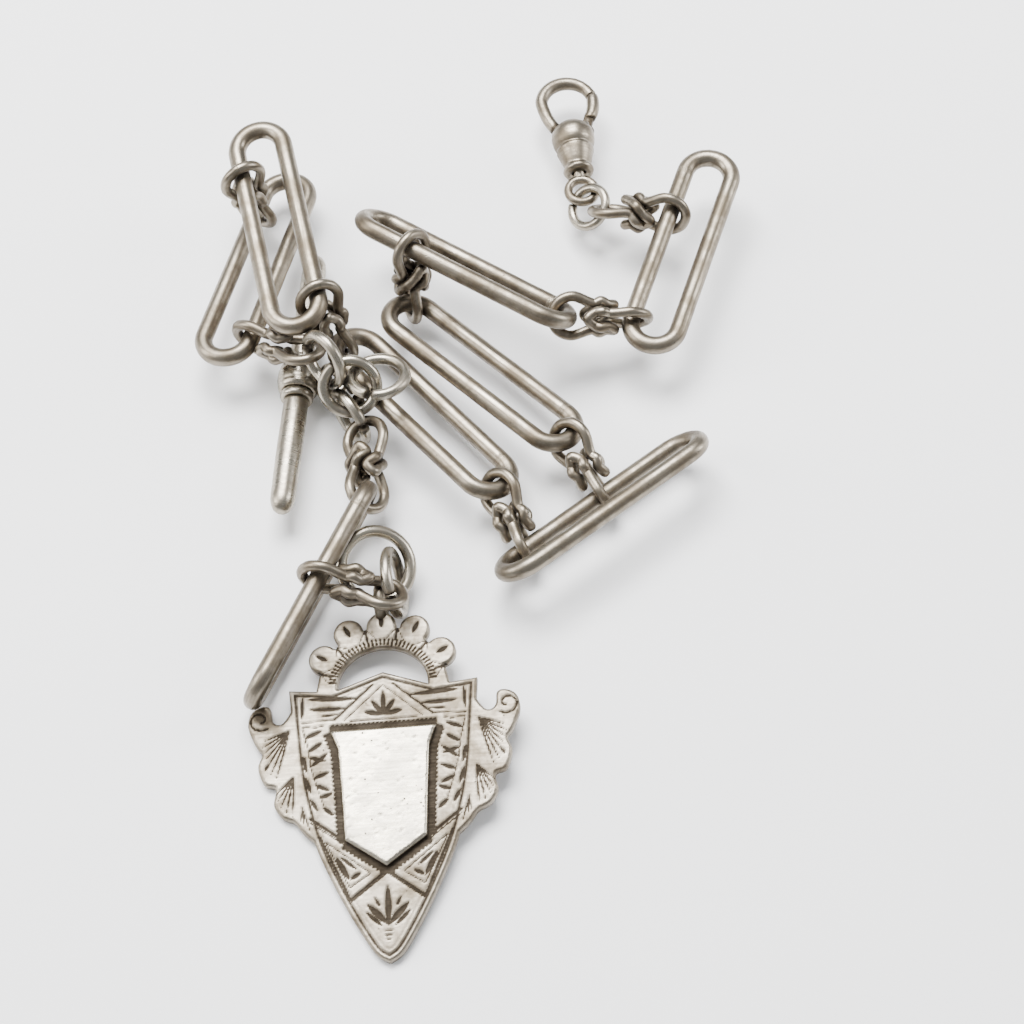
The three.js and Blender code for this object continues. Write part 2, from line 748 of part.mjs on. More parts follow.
fitted(crossbar, "t_knop", knopBody());
for (const [number, turn] of [[1, 180], [2, 0]]) {
  fitted(crossbar, `t_collar_${number}`, collarBody().rotate([0, 0, turn]));
  fitted(crossbar, `t_arm_${number}`, armBody().rotate([0, 0, turn]));
}
fitted(swivel, "swivel_eye", swivelBody());
fitted(hook, "clasp_body", claspBody());
fitted(hook, "gate_pin", gatePinBody(), steel);
fitted(gate, "clasp_gate", gateBody());
fitted(shield, "fob_shield", fobBody());
fitted(shield, "fob_cartouche", cartoucheBody(), brightSilver);

// the middle of the bounding box's underside is the origin
chain.updateMatrixWorld(true);
const bounds = new THREE.Box3().setFromObject(chain, true);
const base = bounds.getCenter(vec(0, 0, 0)).setZ(bounds.min.z);
for (const piece of chain.children) piece.position.sub(base);

export default chain;
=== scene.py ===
"""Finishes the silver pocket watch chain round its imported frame: smooth links, rings, clasp and T-bar,
the engraved shield fob, their aged silver, and the table they lie on."""
import json
import math
import bmesh
import bpy
import numpy as np
from mathutils import Matrix, Vector


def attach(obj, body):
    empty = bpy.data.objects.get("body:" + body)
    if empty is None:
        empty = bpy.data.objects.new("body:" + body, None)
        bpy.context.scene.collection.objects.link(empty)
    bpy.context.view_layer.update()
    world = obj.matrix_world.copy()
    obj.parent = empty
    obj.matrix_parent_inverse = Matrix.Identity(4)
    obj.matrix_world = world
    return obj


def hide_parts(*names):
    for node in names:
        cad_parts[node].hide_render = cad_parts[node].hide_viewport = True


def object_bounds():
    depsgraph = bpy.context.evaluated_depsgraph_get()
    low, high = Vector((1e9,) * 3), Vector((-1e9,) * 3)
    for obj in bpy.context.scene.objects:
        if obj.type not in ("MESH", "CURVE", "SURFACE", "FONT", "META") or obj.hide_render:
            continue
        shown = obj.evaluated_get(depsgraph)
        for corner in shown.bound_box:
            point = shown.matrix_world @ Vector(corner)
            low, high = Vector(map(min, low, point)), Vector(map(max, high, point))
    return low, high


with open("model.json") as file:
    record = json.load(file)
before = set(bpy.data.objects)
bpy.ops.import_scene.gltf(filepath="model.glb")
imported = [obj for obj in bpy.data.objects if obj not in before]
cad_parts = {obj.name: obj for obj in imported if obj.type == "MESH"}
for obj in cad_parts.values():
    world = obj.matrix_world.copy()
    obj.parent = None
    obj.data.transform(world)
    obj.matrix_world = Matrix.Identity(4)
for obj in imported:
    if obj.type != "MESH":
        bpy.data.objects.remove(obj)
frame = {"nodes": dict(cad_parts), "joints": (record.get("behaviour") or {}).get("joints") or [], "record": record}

bl_info = {
    "name": "Pocket watch chain",
    "version": (1, 0, 0),
    "blender": (4, 5, 0),
    "location": "3D View > Sidebar > Watch chain",
    "description": "Makes the links, clasp, T-bar and engraved fob of a silver pocket watch chain",
    "category": "Add Mesh",
}

CAD_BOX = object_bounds()
MM = 0.001
LINKS = [f"trombone_{n}" for n in range(1, 9)]
KNOTS = [f"knot_{n}" for n in range(1, 11)]
RINGS = [f"ring_{n}" for n in range(1, 7)] + ["fob_ring", "clasp_ring"]
CARTOUCHE_DROP = 5.2  # mm from the shield's top edge down to the cartouche
STROKE_WEIGHT = 1.35  # how much wider than its line the graver's cut opens
CARTOUCHE_LIFT = 1.15  # mm from the shield's back to the cartouche's back


# ---------------------------------------------------------------- sizes and colours

class ChainSizes(bpy.types.PropertyGroup):
    """Sizes of the wires and of what is turned and engraved."""

    link_length: bpy.props.FloatProperty(name="Link length", description="Long link over all",
                                         default=0.0295, unit="LENGTH", precision=4)
    link_width: bpy.props.FloatProperty(name="Link width", description="Long link across its bars",
                                        default=0.0078, unit="LENGTH", precision=4)
    link_wire: bpy.props.FloatProperty(name="Link wire", description="Wire of the long links",
                                       default=0.0022, unit="LENGTH", precision=4)
    knot_wire: bpy.props.FloatProperty(name="Knot wire", description="Wire of the knot links",
                                       default=0.0013, unit="LENGTH", precision=4)
    ring_wire: bpy.props.FloatProperty(name="Jump ring wire", description="Wire of the jump rings",
                                       default=0.00135, unit="LENGTH", precision=5)
    fob_ring_wire: bpy.props.FloatProperty(name="Fob ring wire", description="Wire of the fob's wide ring",
                                           default=0.00145, unit="LENGTH", precision=5)
    clasp_ring_wire: bpy.props.FloatProperty(name="Clasp ring wire", description="Wire of the clasp's ring",
                                             default=0.0012, unit="LENGTH", precision=4)
    snug: bpy.props.FloatProperty(name="Wire thinning", description="Share of its frame's wire a wire keeps",
                                  default=0.96, min=0.9, max=1.0)
    hollow_reach: bpy.props.FloatProperty(name="Tarnish reach", description="How far tarnish creeps from a touch",
                                          default=0.0007, unit="LENGTH", precision=5)
    engraving_grid: bpy.props.FloatProperty(name="Engraving step", description="Distance of the fob's points",
                                            default=0.00015, unit="LENGTH", precision=5)
    engraving_depth: bpy.props.FloatProperty(name="Engraving depth", description="Depth of the deepest cuts",
                                             default=0.00016, unit="LENGTH", precision=5)


class ChainFinish(bpy.types.PropertyGroup):
    """Colours of the metal and of the table."""

    silver: bpy.props.FloatVectorProperty(name="Silver", description="Worn silver", subtype="COLOR", size=3,
                                          default=(0.295, 0.26, 0.208), min=0, max=1)
    warm: bpy.props.FloatVectorProperty(name="Warm silver", description="Silver with a thin brown bloom",
                                        subtype="COLOR", size=3, default=(0.155, 0.128, 0.093), min=0, max=1)
    bright: bpy.props.FloatVectorProperty(name="Bright silver", description="Rubbed jump rings", subtype="COLOR",
                                          size=3, default=(0.42, 0.386, 0.318), min=0, max=1)
    polished: bpy.props.FloatVectorProperty(name="Polished silver", description="The fob's plain cartouche",
                                            subtype="COLOR", size=3, default=(0.455, 0.415, 0.33), min=0, max=1)
    # Tarnish colour; it is also the colour of the painted shade on the clasp hook's bow and round the cartouche's foot.
    tarnish: bpy.props.FloatVectorProperty(name="Tarnish", description="Black-brown tarnish in the hollows",
                                           subtype="COLOR", size=3, default=(0.035, 0.027, 0.019), min=0, max=1)
    table: bpy.props.FloatVectorProperty(name="Table", description="The pale table top", subtype="COLOR", size=3,
                                         default=(0.93, 0.93, 0.935), min=0, max=1)


class ChainLight(bpy.types.PropertyGroup):
    """Strength of the studio lights."""

    key: bpy.props.FloatProperty(name="Overhead softbox", description="Power of the wide light above the chain",
                                 default=16.0, min=0, subtype="POWER")
    side: bpy.props.FloatProperty(name="Side softbox", description="Power of the light on the left",
                                  default=4.5, min=0, subtype="POWER")
    room: bpy.props.FloatProperty(name="Room", description="Brightness of the room round the table",
                                  default=0.5, min=0)


# ---------------------------------------------------------------- where the frame's pieces lie

class Lay:
    """A piece's own axes in the frame, in millimetres."""

    def __init__(self, origin, x, z):
        self.origin = np.asarray(origin, float)
        x = np.asarray(x, float) / np.linalg.norm(x)
        z = np.asarray(z, float) - x * np.dot(x, z)
        z = z / np.linalg.norm(z)
        self.axes = np.array([x, np.cross(z, x), z])

    def place(self, points):
        return self.origin + np.asarray(points, float) @ self.axes

    def local(self, points):
        return (np.asarray(points, float) - self.origin) @ self.axes.T


def node_points(name):
    """A node's corner points in millimetres, each once."""
    mesh = frame["nodes"][name].data
    flat = np.empty(len(mesh.vertices) * 3)
    mesh.vertices.foreach_get("co", flat)
    return np.unique(np.round(flat.reshape(-1, 3) / MM, 4), axis=0)


def principal_axes(points):
    """The middle of the points, and their axes from the longest to the shortest."""
    middle = points.mean(0)
    return middle, np.linalg.svd(points - middle, full_matrices=False)[2]


def link_lay(name):
    middle, axes = principal_axes(node_points(name))
    return Lay(middle, axes[0], axes[2])


def ring_lay(name):
    """Centre and plane of a jump ring, with +X away from its cut, and the radius of its centreline."""
    points = node_points(name)
    middle, axes = principal_axes(points)
    flat = (points - middle) @ axes[:2].T
    grid = np.column_stack([2 * flat, np.ones(len(flat))])
    x, y, rest = np.linalg.lstsq(grid, (flat ** 2).sum(1), rcond=None)[0]
    centre = middle + x * axes[0] + y * axes[1]
    spread = points - centre
    radius = np.linalg.norm(spread - np.outer(spread @ axes[2], axes[2]), axis=1)
    lay = Lay(centre, axes[0], axes[2])
    cut = cut_direction(name, lay)
    return Lay(centre, -cut, axes[2]), (radius.max() + radius.min()) / 2


def cut_direction(name, lay):
    """Where a ring is sawn open: the middle of its two flat end faces."""
    mesh = frame["nodes"][name].data
    total = np.zeros(3)
    for face in mesh.polygons:
        out = np.array(face.center) / MM - lay.origin
        out -= lay.axes[2] * np.dot(out, lay.axes[2])
        out /= np.linalg.norm(out)
        along = np.cross(lay.axes[2], out)
        if abs(np.dot(np.array(face.normal), along)) > 0.975:
            total += out * face.area
    if np.linalg.norm(total) == 0:
        raise RuntimeError(f"{name} has no sawn ends")
    return total / np.linalg.norm(total)


def knot_lay(name):
    """A knot link's axes, with the loop at -X standing along Z, and the skew of the loop at +X."""
    points = node_points(name)
    middle, axes = principal_axes(points)
    x = axes[0]
    along = (points - middle) @ x
    middle = middle + x * (along.max() + along.min()) / 2
    along = (points - middle) @ x
    reach = along.max()

    def loop_direction(side):
        loop = points[along * side > 0.62 * reach] - middle
        loop = loop - np.outer(loop @ x, x)
        return np.linalg.svd(loop, full_matrices=False)[2][0]

    lay = Lay(middle, x, loop_direction(-1))
    far = lay.axes @ loop_direction(1)
    skew = math.degrees(math.atan2(far[2], far[1]))
    skew = (skew + 90) % 180 - 90
    return lay, skew, reach


def joint_named(name):
    for joint in frame["joints"]:
        if joint["name"] == name:
            return joint
    raise RuntimeError(f"no joint is named {name}")


def body_holding(node):
    for body, members in frame["record"]["behaviour"]["bodies"].items():
        if node in members:
            return body
    raise RuntimeError(f"no body holds {node}")


# ---------------------------------------------------------------- centrelines

def arc(start, end, steps):
    return np.radians(np.linspace(start, end, steps + 1))


def link_line(sizes):
    """Centreline of a long link along X, round once."""
    radius = (sizes.link_width - sizes.link_wire) / 2 / MM
    reach = (sizes.link_length - sizes.link_width) / 2 / MM
    run = np.linspace(-reach, reach, 31)[1:-1]
    turn = arc(-90, 90, 28)
    right = np.column_stack([reach + radius * np.cos(turn), radius * np.sin(turn), 0 * turn])
    back = np.column_stack([run[::-1], 0 * run + radius, 0 * run])
    return np.vstack([right, back, -right, back[::-1] * [1, -1, 1]])


def ring_line(radius, wire):
    """Centreline of a jump ring from one side of its saw cut to the other."""
    opening = math.degrees(0.5 / radius) / 2 + 0.5
    turn = arc(-180 + opening, 180 - opening, 90)
    return np.column_stack([radius * np.cos(turn), radius * np.sin(turn), 0 * turn])


def knot_line(sizes, skew, tip):
    """Centreline of a knot link: two loops at right angles and six strands that lie on a barrel."""
    wire = sizes.knot_wire / MM
    radius = (5.9 - wire) / 2
    neck = tip - radius
    waist = (5.0 - wire) / 2
    mouth = 0.82 * waist
    edge = 0.75
    bend = edge + 0.9
    slant = radius * math.sqrt(0.5)

    def half(turn):
        stations = [
            (-neck - slant, slant, 90),
            (-neck, radius, 90),
            (-edge, mouth, 90),
            (0, waist, 105 + skew / 2),
            (edge, mouth, 120 + skew),
            (bend, mouth, 90 + skew),
            (edge, mouth, 60 + skew),
            (0, waist, 45 + skew / 2),
            (-edge, mouth, 30),
            (-bend, mouth, 0),
            (-edge, mouth, -30),
            (0, waist, -15 + skew / 2),
            (edge, mouth, skew),
            (neck, radius, skew),
            (neck + slant, slant, skew),
        ]
        return [(x, r * math.cos(math.radians(turn + a)), r * math.sin(math.radians(turn + a)))
                for x, r, a in stations]

    return smooth_round([(-tip, 0, 0), *half(0), (tip, 0, 0), *reversed(half(180))], 12)


def smooth_round(stations, steps):
    """A smooth closed line through the stations."""
    points = np.array(stations, float)
    line = []
    for i in range(len(points)):
        a, b, c, d = (points[(i + k) % len(points)] for k in (-1, 0, 1, 2))
        gaps = [math.sqrt(np.linalg.norm(q - p)) for p, q in ((a, b), (b, c), (c, d))]
        leave = (b - a) / gaps[0] - (c - a) / (gaps[0] + gaps[1]) + (c - b) / gaps[1]
        arrive = (c - b) / gaps[1] - (d - b) / (gaps[1] + gaps[2]) + (d - c) / gaps[2]
        t = np.linspace(0, 1, steps, endpoint=False)[:, None]
        line.append((2 * t ** 3 - 3 * t ** 2 + 1) * b + (t ** 3 - 2 * t ** 2 + t) * leave * gaps[1]
                    + (3 * t ** 2 - 2 * t ** 3) * c + (t ** 3 - t ** 2) * arrive * gaps[1])
    return np.vstack(line)


def smooth_open(stations, steps):
    """A smooth line through the stations, from the first to the last."""
    points = [2 * np.array(stations[0]) - np.array(stations[1]), *stations,
              2 * np.array(stations[-1]) - np.array(stations[-2])]
    closed = smooth_round(points, steps)
    return np.vstack([closed[steps:steps * (len(points) - 2)], [stations[-1]]])


# ---------------------------------------------------------------- touching wires, for the tarnish

TOUCHES = {}


def remember(name, line, radius, closed):
    """Keeps a wire's centreline for the tarnish where another wire touches it."""
    TOUCHES[name] = (np.asarray(line, float), radius, closed)


def lengths_along(line, closed):
    steps = np.linalg.norm(np.diff(line, axis=0), axis=1)
    total = steps.sum() + (np.linalg.norm(line[0] - line[-1]) if closed else 0)
    return np.concatenate([[0], np.cumsum(steps)]), total


def hollows(name, points, reach, along=None, loop_length=0.0):
    """How deep in a hollow each point lies, from 0 in the open to 1 where wires meet."""
    depth = np.zeros(len(points))
    low, high = points.min(0) - reach, points.max(0) + reach
    for other, (line, radius, closed) in TOUCHES.items():
        if other == name and along is None:
            continue
        near = np.all((line > low - radius) & (line < high + radius), axis=1)
        if not near.any():
            continue
        spots = line[near]
        gap = np.linalg.norm(points[:, None, :] - spots[None, :, :], axis=2) - radius
        if other == name:
            lengths = lengths_along(line, closed)[0][near]
            apart = np.abs(along[:, None] - lengths[None, :])
            apart = np.minimum(apart, loop_length - apart)
            gap[apart < 5.2 * radius] = reach
        depth = np.maximum(depth, np.clip(1 - gap.min(1) / reach, 0, 1))
    return depth


# ---------------------------------------------------------------- making pieces

def scene_object(name, mesh):
    made = bpy.data.objects.new(name, mesh)
    bpy.context.scene.collection.objects.link(made)
    return made


def write_attribute(mesh, name, kind, values):
    layer = mesh.attributes.new(name, kind, "POINT")
    key = "vector" if kind == "FLOAT_VECTOR" else "value"
    layer.data.foreach_set(key, np.asarray(values, dtype=np.float32).ravel())


def mesh_points(mesh):
    flat = np.empty(len(mesh.vertices) * 3)
    mesh.vertices.foreach_get("co", flat)
    return flat.reshape(-1, 3) / MM


def finished(piece, node, material, *, slot=None):
    """Sets a piece's finish, smooths it, and stands it for its node."""
    piece.data.materials.clear()
    piece.data.materials.append(material)
    piece.data.shade_smooth()
    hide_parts(node)
    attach(piece, body_holding(node))
    return piece


def wire_mesh(name, line, radius, closed, swell=None, corners=6):
    """A round wire along a centreline, as a mesh in metres."""
    curve = bpy.data.curves.new(name, "CURVE")
    curve.dimensions = "3D"
    curve.bevel_depth = radius * MM
    curve.bevel_resolution = corners
    curve.use_fill_caps = not closed
    spline = curve.splines.new("POLY")
    spline.points.add(len(line) - 1)
    spline.points.foreach_set("co", np.column_stack([line * MM, np.ones(len(line))]).ravel())
    if swell is not None:
        spline.points.foreach_set("radius", np.asarray(swell, dtype=np.float32))
    spline.use_cyclic_u = closed
    holder = scene_object(name, curve)
    bpy.context.view_layer.update()
    mesh = bpy.data.meshes.new_from_object(holder.evaluated_get(bpy.context.evaluated_depsgraph_get()))
    bpy.data.objects.remove(holder)
    bpy.data.curves.remove(curve)
    mesh.name = name
    weld(mesh)
    return mesh


def weld(mesh):
    """Merges doubled points and turns the faces outwards."""
    bm = bmesh.new()
    bm.from_mesh(mesh)
    bmesh.ops.remove_doubles(bm, verts=bm.verts, dist=1e-7)
    bmesh.ops.recalc_face_normals(bm, faces=bm.faces)
    bm.to_mesh(mesh)
    bm.free()


def carried_frame(line, closed):
    """A normal at each station that turns as little as it can along the line."""
    if closed:
        tangents = np.roll(line, -1, 0) - np.roll(line, 1, 0)
    else:
        tangents = np.gradient(line, axis=0)
    tangents /= np.linalg.norm(tangents, axis=1)[:, None]
    normal = np.cross(tangents[0], [0.31, 0.52, 0.79])
    normals = []
    for tangent in tangents:
        normal = normal - tangent * np.dot(normal, tangent)
        normal = normal / np.linalg.norm(normal)
        normals.append(normal)
    return tangents, np.array(normals)


def wire_piece(name, line, radius, closed, material, swell=None, corners=6, start=0.0):
    """A wire piece with its grain along the wire and tarnish where it touches others."""
    sizes = bpy.context.scene.chain_sizes
    mesh = wire_mesh(name, line, radius * sizes.snug, closed, swell, corners)
    points = mesh_points(mesh)
    lengths, total = lengths_along(line, closed)
    nearest = np.concatenate([
        np.linalg.norm(part[:, None, :] - line[None, :, :], axis=2).argmin(1)
        for part in np.array_split(points, max(1, len(points) // 2000))
    ])
    tangents, normals = carried_frame(line, closed)
    offset = points - line[nearest]
    side = np.cross(tangents[nearest], normals[nearest])
    grain = np.column_stack([
        start + lengths[nearest] + (offset * tangents[nearest]).sum(1),
        (offset * normals[nearest]).sum(1),
        (offset * side).sum(1),
    ])
    loop_length = total if closed else 1e6
    hollow = hollows(name, points, sizes.hollow_reach / MM, lengths[nearest], loop_length)
    write_attribute(mesh, "grain", "FLOAT_VECTOR", grain)
    write_attribute(mesh, "hollow", "FLOAT", hollow)
    return finished(scene_object(name + "_wire", mesh), name, material)


def turned_mesh(name, profile, lay, steps=72, bevel=0.0):
    """A piece turned on a lathe about its lay's X axis, from a profile of (x, radius) pairs."""
    bm = bmesh.new()
    rim = [bm.verts.new((x, r, 0)) for x, r in profile]
    edges = [bm.edges.new(pair) for pair in zip(rim, rim[1:])]
    bmesh.ops.spin(bm, geom=rim + edges, cent=(0, 0, 0), axis=(1, 0, 0), angle=2 * math.pi,
                   steps=steps, use_merge=True)
    bmesh.ops.remove_doubles(bm, verts=bm.verts, dist=1e-4)
    bmesh.ops.recalc_face_normals(bm, faces=bm.faces)
    if bevel:
        sharp = [e for e in bm.edges if len(e.link_faces) == 2 and e.calc_face_angle() > math.radians(24)]
        bmesh.ops.bevel(bm, geom=sharp, offset=bevel, offset_type="OFFSET", affect="EDGES", segments=2,
                        profile=0.5, material=-1, clamp_overlap=True)
        bmesh.ops.recalc_face_normals(bm, faces=bm.faces)
    mesh = bpy.data.meshes.new(name)
    bm.to_mesh(mesh)
    bm.free()
    dress_turned(mesh, name, lay)
    return mesh


def dress_turned(mesh, name, lay, tarnish=None):
    """Puts a turned mesh in its place and gives it grain round its axis."""
    flat = np.empty(len(mesh.vertices) * 3)
    mesh.vertices.foreach_get("co", flat)
    own = flat.reshape(-1, 3)
    angle = np.arctan2(own[:, 2], own[:, 1])
    radius = np.hypot(own[:, 1], own[:, 2])
    placed = lay.place(own)
    mesh.vertices.foreach_set("co", (placed * MM).ravel())
    write_attribute(mesh, "grain", "FLOAT_VECTOR", np.column_stack([angle * radius, own[:, 0], radius]))
    reach = bpy.context.scene.chain_sizes.hollow_reach / MM
    hollow = hollows(name, placed, reach)
    if tarnish is not None:
        hollow = np.maximum(hollow, tarnish(own))
    write_attribute(mesh, "hollow", "FLOAT", hollow)
    mesh.update()


def rounded_profile(points, steps=6):
    """A smooth profile through the points."""
    return [tuple(p[:2]) for p in smooth_open([(x, r, 0.0) for x, r in points], steps)]


def joined(name, meshes):
    """One mesh of several, each kept as it is."""
    bm = bmesh.new()
    for mesh in meshes:
        bm.from_mesh(mesh)
    whole = bpy.data.meshes.new(name)
    bm.to_mesh(whole)
    bm.free()
    return whole


# ---------------------------------------------------------------- finishes

class Finish:
    """Builds one procedural material."""

    def __init__(self, name):
        self.material = bpy.data.materials.new(name)
        self.material.use_nodes = True
        self.nodes = self.material.node_tree.nodes
        self.links = self.material.node_tree.links
        self.shader = self.nodes["Principled BSDF"]

    def node(self, kind, **values):
        made = self.nodes.new("ShaderNode" + kind)
        for key, value in values.items():
            if key in made.inputs:
                made.inputs[key].default_value = value
            else:
                setattr(made, key, value)
        return made

    def join(self, source, target):
        self.links.new(source, target)

    def attribute(self, name):
        return self.node("Attribute", attribute_name=name)

    def scaled(self, source, scale):
        mapping = self.node("Mapping")
        mapping.inputs["Scale"].default_value = scale
        self.join(source, mapping.inputs["Vector"])
        return mapping.outputs["Vector"]

    def noise(self, vector, scale, detail=3.0, roughness=0.55):
        made = self.node("TexNoise")
        made.inputs["Scale"].default_value = scale
        made.inputs["Detail"].default_value = detail
        made.inputs["Roughness"].default_value = roughness
        self.join(vector, made.inputs["Vector"])
        return made.outputs["Fac"]

    def fitted(self, source, low, high, start=0.0, end=1.0):
        made = self.node("MapRange", interpolation_type="SMOOTHSTEP")
        for key, value in (("From Min", low), ("From Max", high), ("To Min", start), ("To Max", end)):
            made.inputs[key].default_value = value
        self.join(source, made.inputs["Value"])
        return made.outputs["Result"]

    def sum(self, operation, first, second):
        made = self.node("Math", operation=operation, use_clamp=operation == "MAXIMUM")
        for socket, value in zip(made.inputs, (first, second)):
            if isinstance(value, (int, float)):
                socket.default_value = value
            else:
                self.join(value, socket)
        return made.outputs["Value"]

    def mix(self, amount, first, second):
        made = self.node("Mix", data_type="RGBA")
        self.join(amount, made.inputs["Factor"])
        for socket, value in ((made.inputs[6], first), (made.inputs[7], second)):
            if isinstance(value, tuple):
                socket.default_value = value
            else:
                self.join(value, socket)
        return made.outputs[2]

    def bump(self, height, strength, distance, under=None):
        made = self.node("Bump")
        made.inputs["Strength"].default_value = strength
        made.inputs["Distance"].default_value = distance
        self.join(height, made.inputs["Height"])
        if under is not None:
            self.join(under, made.inputs["Normal"])
        return made.outputs["Normal"]


def rgba(colour, times=1.0):
    return tuple(min(1.0, c * times) for c in colour) + (1.0,)


def silver_finish(name, light, deep, gloss, tarnish_most=0.93, pitting=0.0, streaks=1.0):
    """Worn silver with a brushed grain, a patchy bloom, scratches, and tarnish in its hollows; the hollow attribute
    also carries painted shade on the clasp hook's bow and round the cartouche's foot, drawn in the tarnish colour.
    """
    found = bpy.data.materials.get(name)
    if found:
        return found
    colours = bpy.context.scene.chain_finish
    made = Finish(name)
    grain = made.attribute("grain").outputs["Vector"]
    hollow = made.attribute("hollow").outputs["Fac"]
    drawn = made.noise(made.scaled(grain, (0.16, 4.2, 4.2)), 1.0, 4.0, 0.6)
    bloom = made.noise(grain, 0.33, 4.0, 0.62)
    spots = made.noise(grain, 2.6, 3.0, 0.6)
    scratches = made.noise(made.scaled(grain, (0.7, 13.0, 2.5)), 1.0, 2.0, 0.5)
    pits = made.node("TexVoronoi", feature="F1")
    pits.inputs["Scale"].default_value = 1.15
    made.join(grain, pits.inputs["Vector"])
    pit = made.fitted(pits.outputs["Distance"], 0.03, 0.15, 1.0, 0.0)
    rare = made.fitted(made.noise(grain, 0.8, 1.0), 0.5, 0.62)
    pit = made.sum("MULTIPLY", pit, rare)
    patch = made.fitted(bloom, 0.36, 0.66)
    ground = made.mix(patch, rgba(light), rgba(deep))
    streak = made.fitted(drawn, 0.3, 0.72, 0.0, 0.5 * streaks)
    ground = made.mix(streak, ground, rgba(deep, 0.8))
    speck = made.fitted(spots, 0.62, 0.74, 0.0, 0.45)
    ground = made.mix(speck, ground, rgba(deep, 0.55))
    # hollow is tarnish in the hollows, and on the clasp hook's bow and the cartouche's foot it is painted shade as
    # well; both darken towards the tarnish colour.
    creep = made.sum("MULTIPLY", hollow, made.fitted(spots, 0.2, 0.7, 0.8, 1.25))
    grime = made.fitted(creep, 0.12, 0.85, 0.0, tarnish_most)
    grime = made.sum("MAXIMUM", grime, made.sum("MULTIPLY", pit, 0.25 + pitting))
    made.join(made.mix(grime, ground, rgba(colours.tarnish)), made.shader.inputs["Base Color"])
    shine = made.sum("ADD", made.fitted(drawn, 0.3, 0.75, gloss, gloss + 0.14), made.fitted(bloom, 0.35, 0.7, 0.0, 0.12))
    shine = made.sum("ADD", shine, made.sum("MULTIPLY", grime, 0.3))
    made.join(shine, made.shader.inputs["Roughness"])
    rough = made.bump(drawn, 0.16 * streaks, 0.00006)
    rough = made.bump(scratches, 0.12 * streaks, 0.00004, rough)
    rough = made.bump(bloom, 0.22, 0.00025, rough)
    rough = made.bump(made.sum("SUBTRACT", 1.0, pit), 0.3 + pitting, 0.00006, rough)
    made.join(rough, made.shader.inputs["Normal"])
    made.shader.inputs["Metallic"].default_value = 1.0
    return made.material


def aged_silver():
    colours = bpy.context.scene.chain_finish
    return silver_finish("aged_silver", colours.silver, colours.warm, 0.27)


def ring_silver():
    colours = bpy.context.scene.chain_finish
    return silver_finish("rubbed_silver", colours.bright, colours.silver, 0.2)


def bar_silver():
    colours = bpy.context.scene.chain_finish
    return silver_finish("turned_silver", colours.bright, colours.silver, 0.2, streaks=0.7)


def engraved_silver():
    colours = bpy.context.scene.chain_finish
    return silver_finish("engraved_silver", colours.silver, colours.warm, 0.34, pitting=0.2, streaks=0.12)


def cartouche_silver():
    colours = bpy.context.scene.chain_finish
    return silver_finish("polished_cartouche", colours.polished, colours.bright, 0.2, tarnish_most=0.85,
                         pitting=0.45, streaks=0.06)


def pin_steel():
    colours = bpy.context.scene.chain_finish
    return silver_finish("pin_steel", (0.34, 0.34, 0.34), colours.warm, 0.3)


# ---------------------------------------------------------------- links, knots and rings

def survey():
    """Finds every wire's centreline in the frame, once, for the pieces and the tarnish between them."""
    if TOUCHES:
        return
    sizes = bpy.context.scene.chain_sizes
    for name in LINKS:
        remember(name, link_lay(name).place(link_line(sizes)), sizes.link_wire / MM / 2, True)
    for name in KNOTS:
        lay, skew, reach = knot_lay(name)
        tip = reach - sizes.knot_wire / MM / 2
        remember(name, lay.place(knot_line(sizes, skew, tip)), sizes.knot_wire / MM / 2, True)
    wires = {"fob_ring": sizes.fob_ring_wire, "clasp_ring": sizes.clasp_ring_wire}
    for name in RINGS:
        lay, radius = ring_lay(name)
        wire = wires.get(name, sizes.ring_wire) / MM
        remember(name, lay.place(ring_line(radius, wire)), wire / 2, False)


def seeded(name):
    return np.random.default_rng(sum((i + 1) * ord(c) for i, c in enumerate(name)))


def wavering(count, closed, size, rng):
    """Slow hand-made unevenness of a wire's thickness."""
    turn = np.linspace(0, 2 * math.pi, count, endpoint=not closed)
    waves = sum(rng.uniform(-1, 1) * np.sin(k * turn + rng.uniform(0, 6)) for k in range(2, 9))
    return 1 - size + size * waves / 3.2


class WATCHCHAIN_OT_links(bpy.types.Operator):
    """Makes the eight long links"""

    bl_idname = "watchchain.links"
    bl_label = "Long links"

    def execute(self, context):
        survey()
        for name in LINKS:
            line, radius, closed = TOUCHES[name]
            rng = seeded(name)
            swell = wavering(len(line), True, 0.012, rng)
            lengths, total = lengths_along(line, True)
            seam = rng.uniform(0.3, 0.45) * total
            from_seam = np.abs(lengths - seam)
            swell = np.where(from_seam < 0.45, swell - 0.035 * (1 - from_seam / 0.45), swell)
            wire_piece(name, line, radius, True, aged_silver(), swell, corners=8, start=rng.uniform(0, 500))
        return {"FINISHED"}


class WATCHCHAIN_OT_knots(bpy.types.Operator):
    """Makes the ten knot links"""

    bl_idname = "watchchain.knots"
    bl_label = "Knot links"

    def execute(self, context):
        survey()
        for name in KNOTS:
            line, radius, closed = TOUCHES[name]
            rng = seeded(name)
            swell = wavering(len(line), True, 0.015, rng)
            wire_piece(name, line, radius, True, aged_silver(), swell, corners=4, start=rng.uniform(0, 500))
        return {"FINISHED"}


class WATCHCHAIN_OT_rings(bpy.types.Operator):
    """Makes the jump rings, each sawn open"""

    bl_idname = "watchchain.rings"
    bl_label = "Jump rings"

    def execute(self, context):
        survey()
        for name in RINGS:
            line, radius, closed = TOUCHES[name]
            rng = seeded(name)
            swell = wavering(len(line), False, 0.012, rng)
            swell[[0, -1]] *= 0.86
            swell[[1, -2]] *= 0.97
            wire_piece(name, line, radius, False, ring_silver(), swell, corners=6, start=rng.uniform(0, 500))
        return {"FINISHED"}


# ---------------------------------------------------------------- T-bar

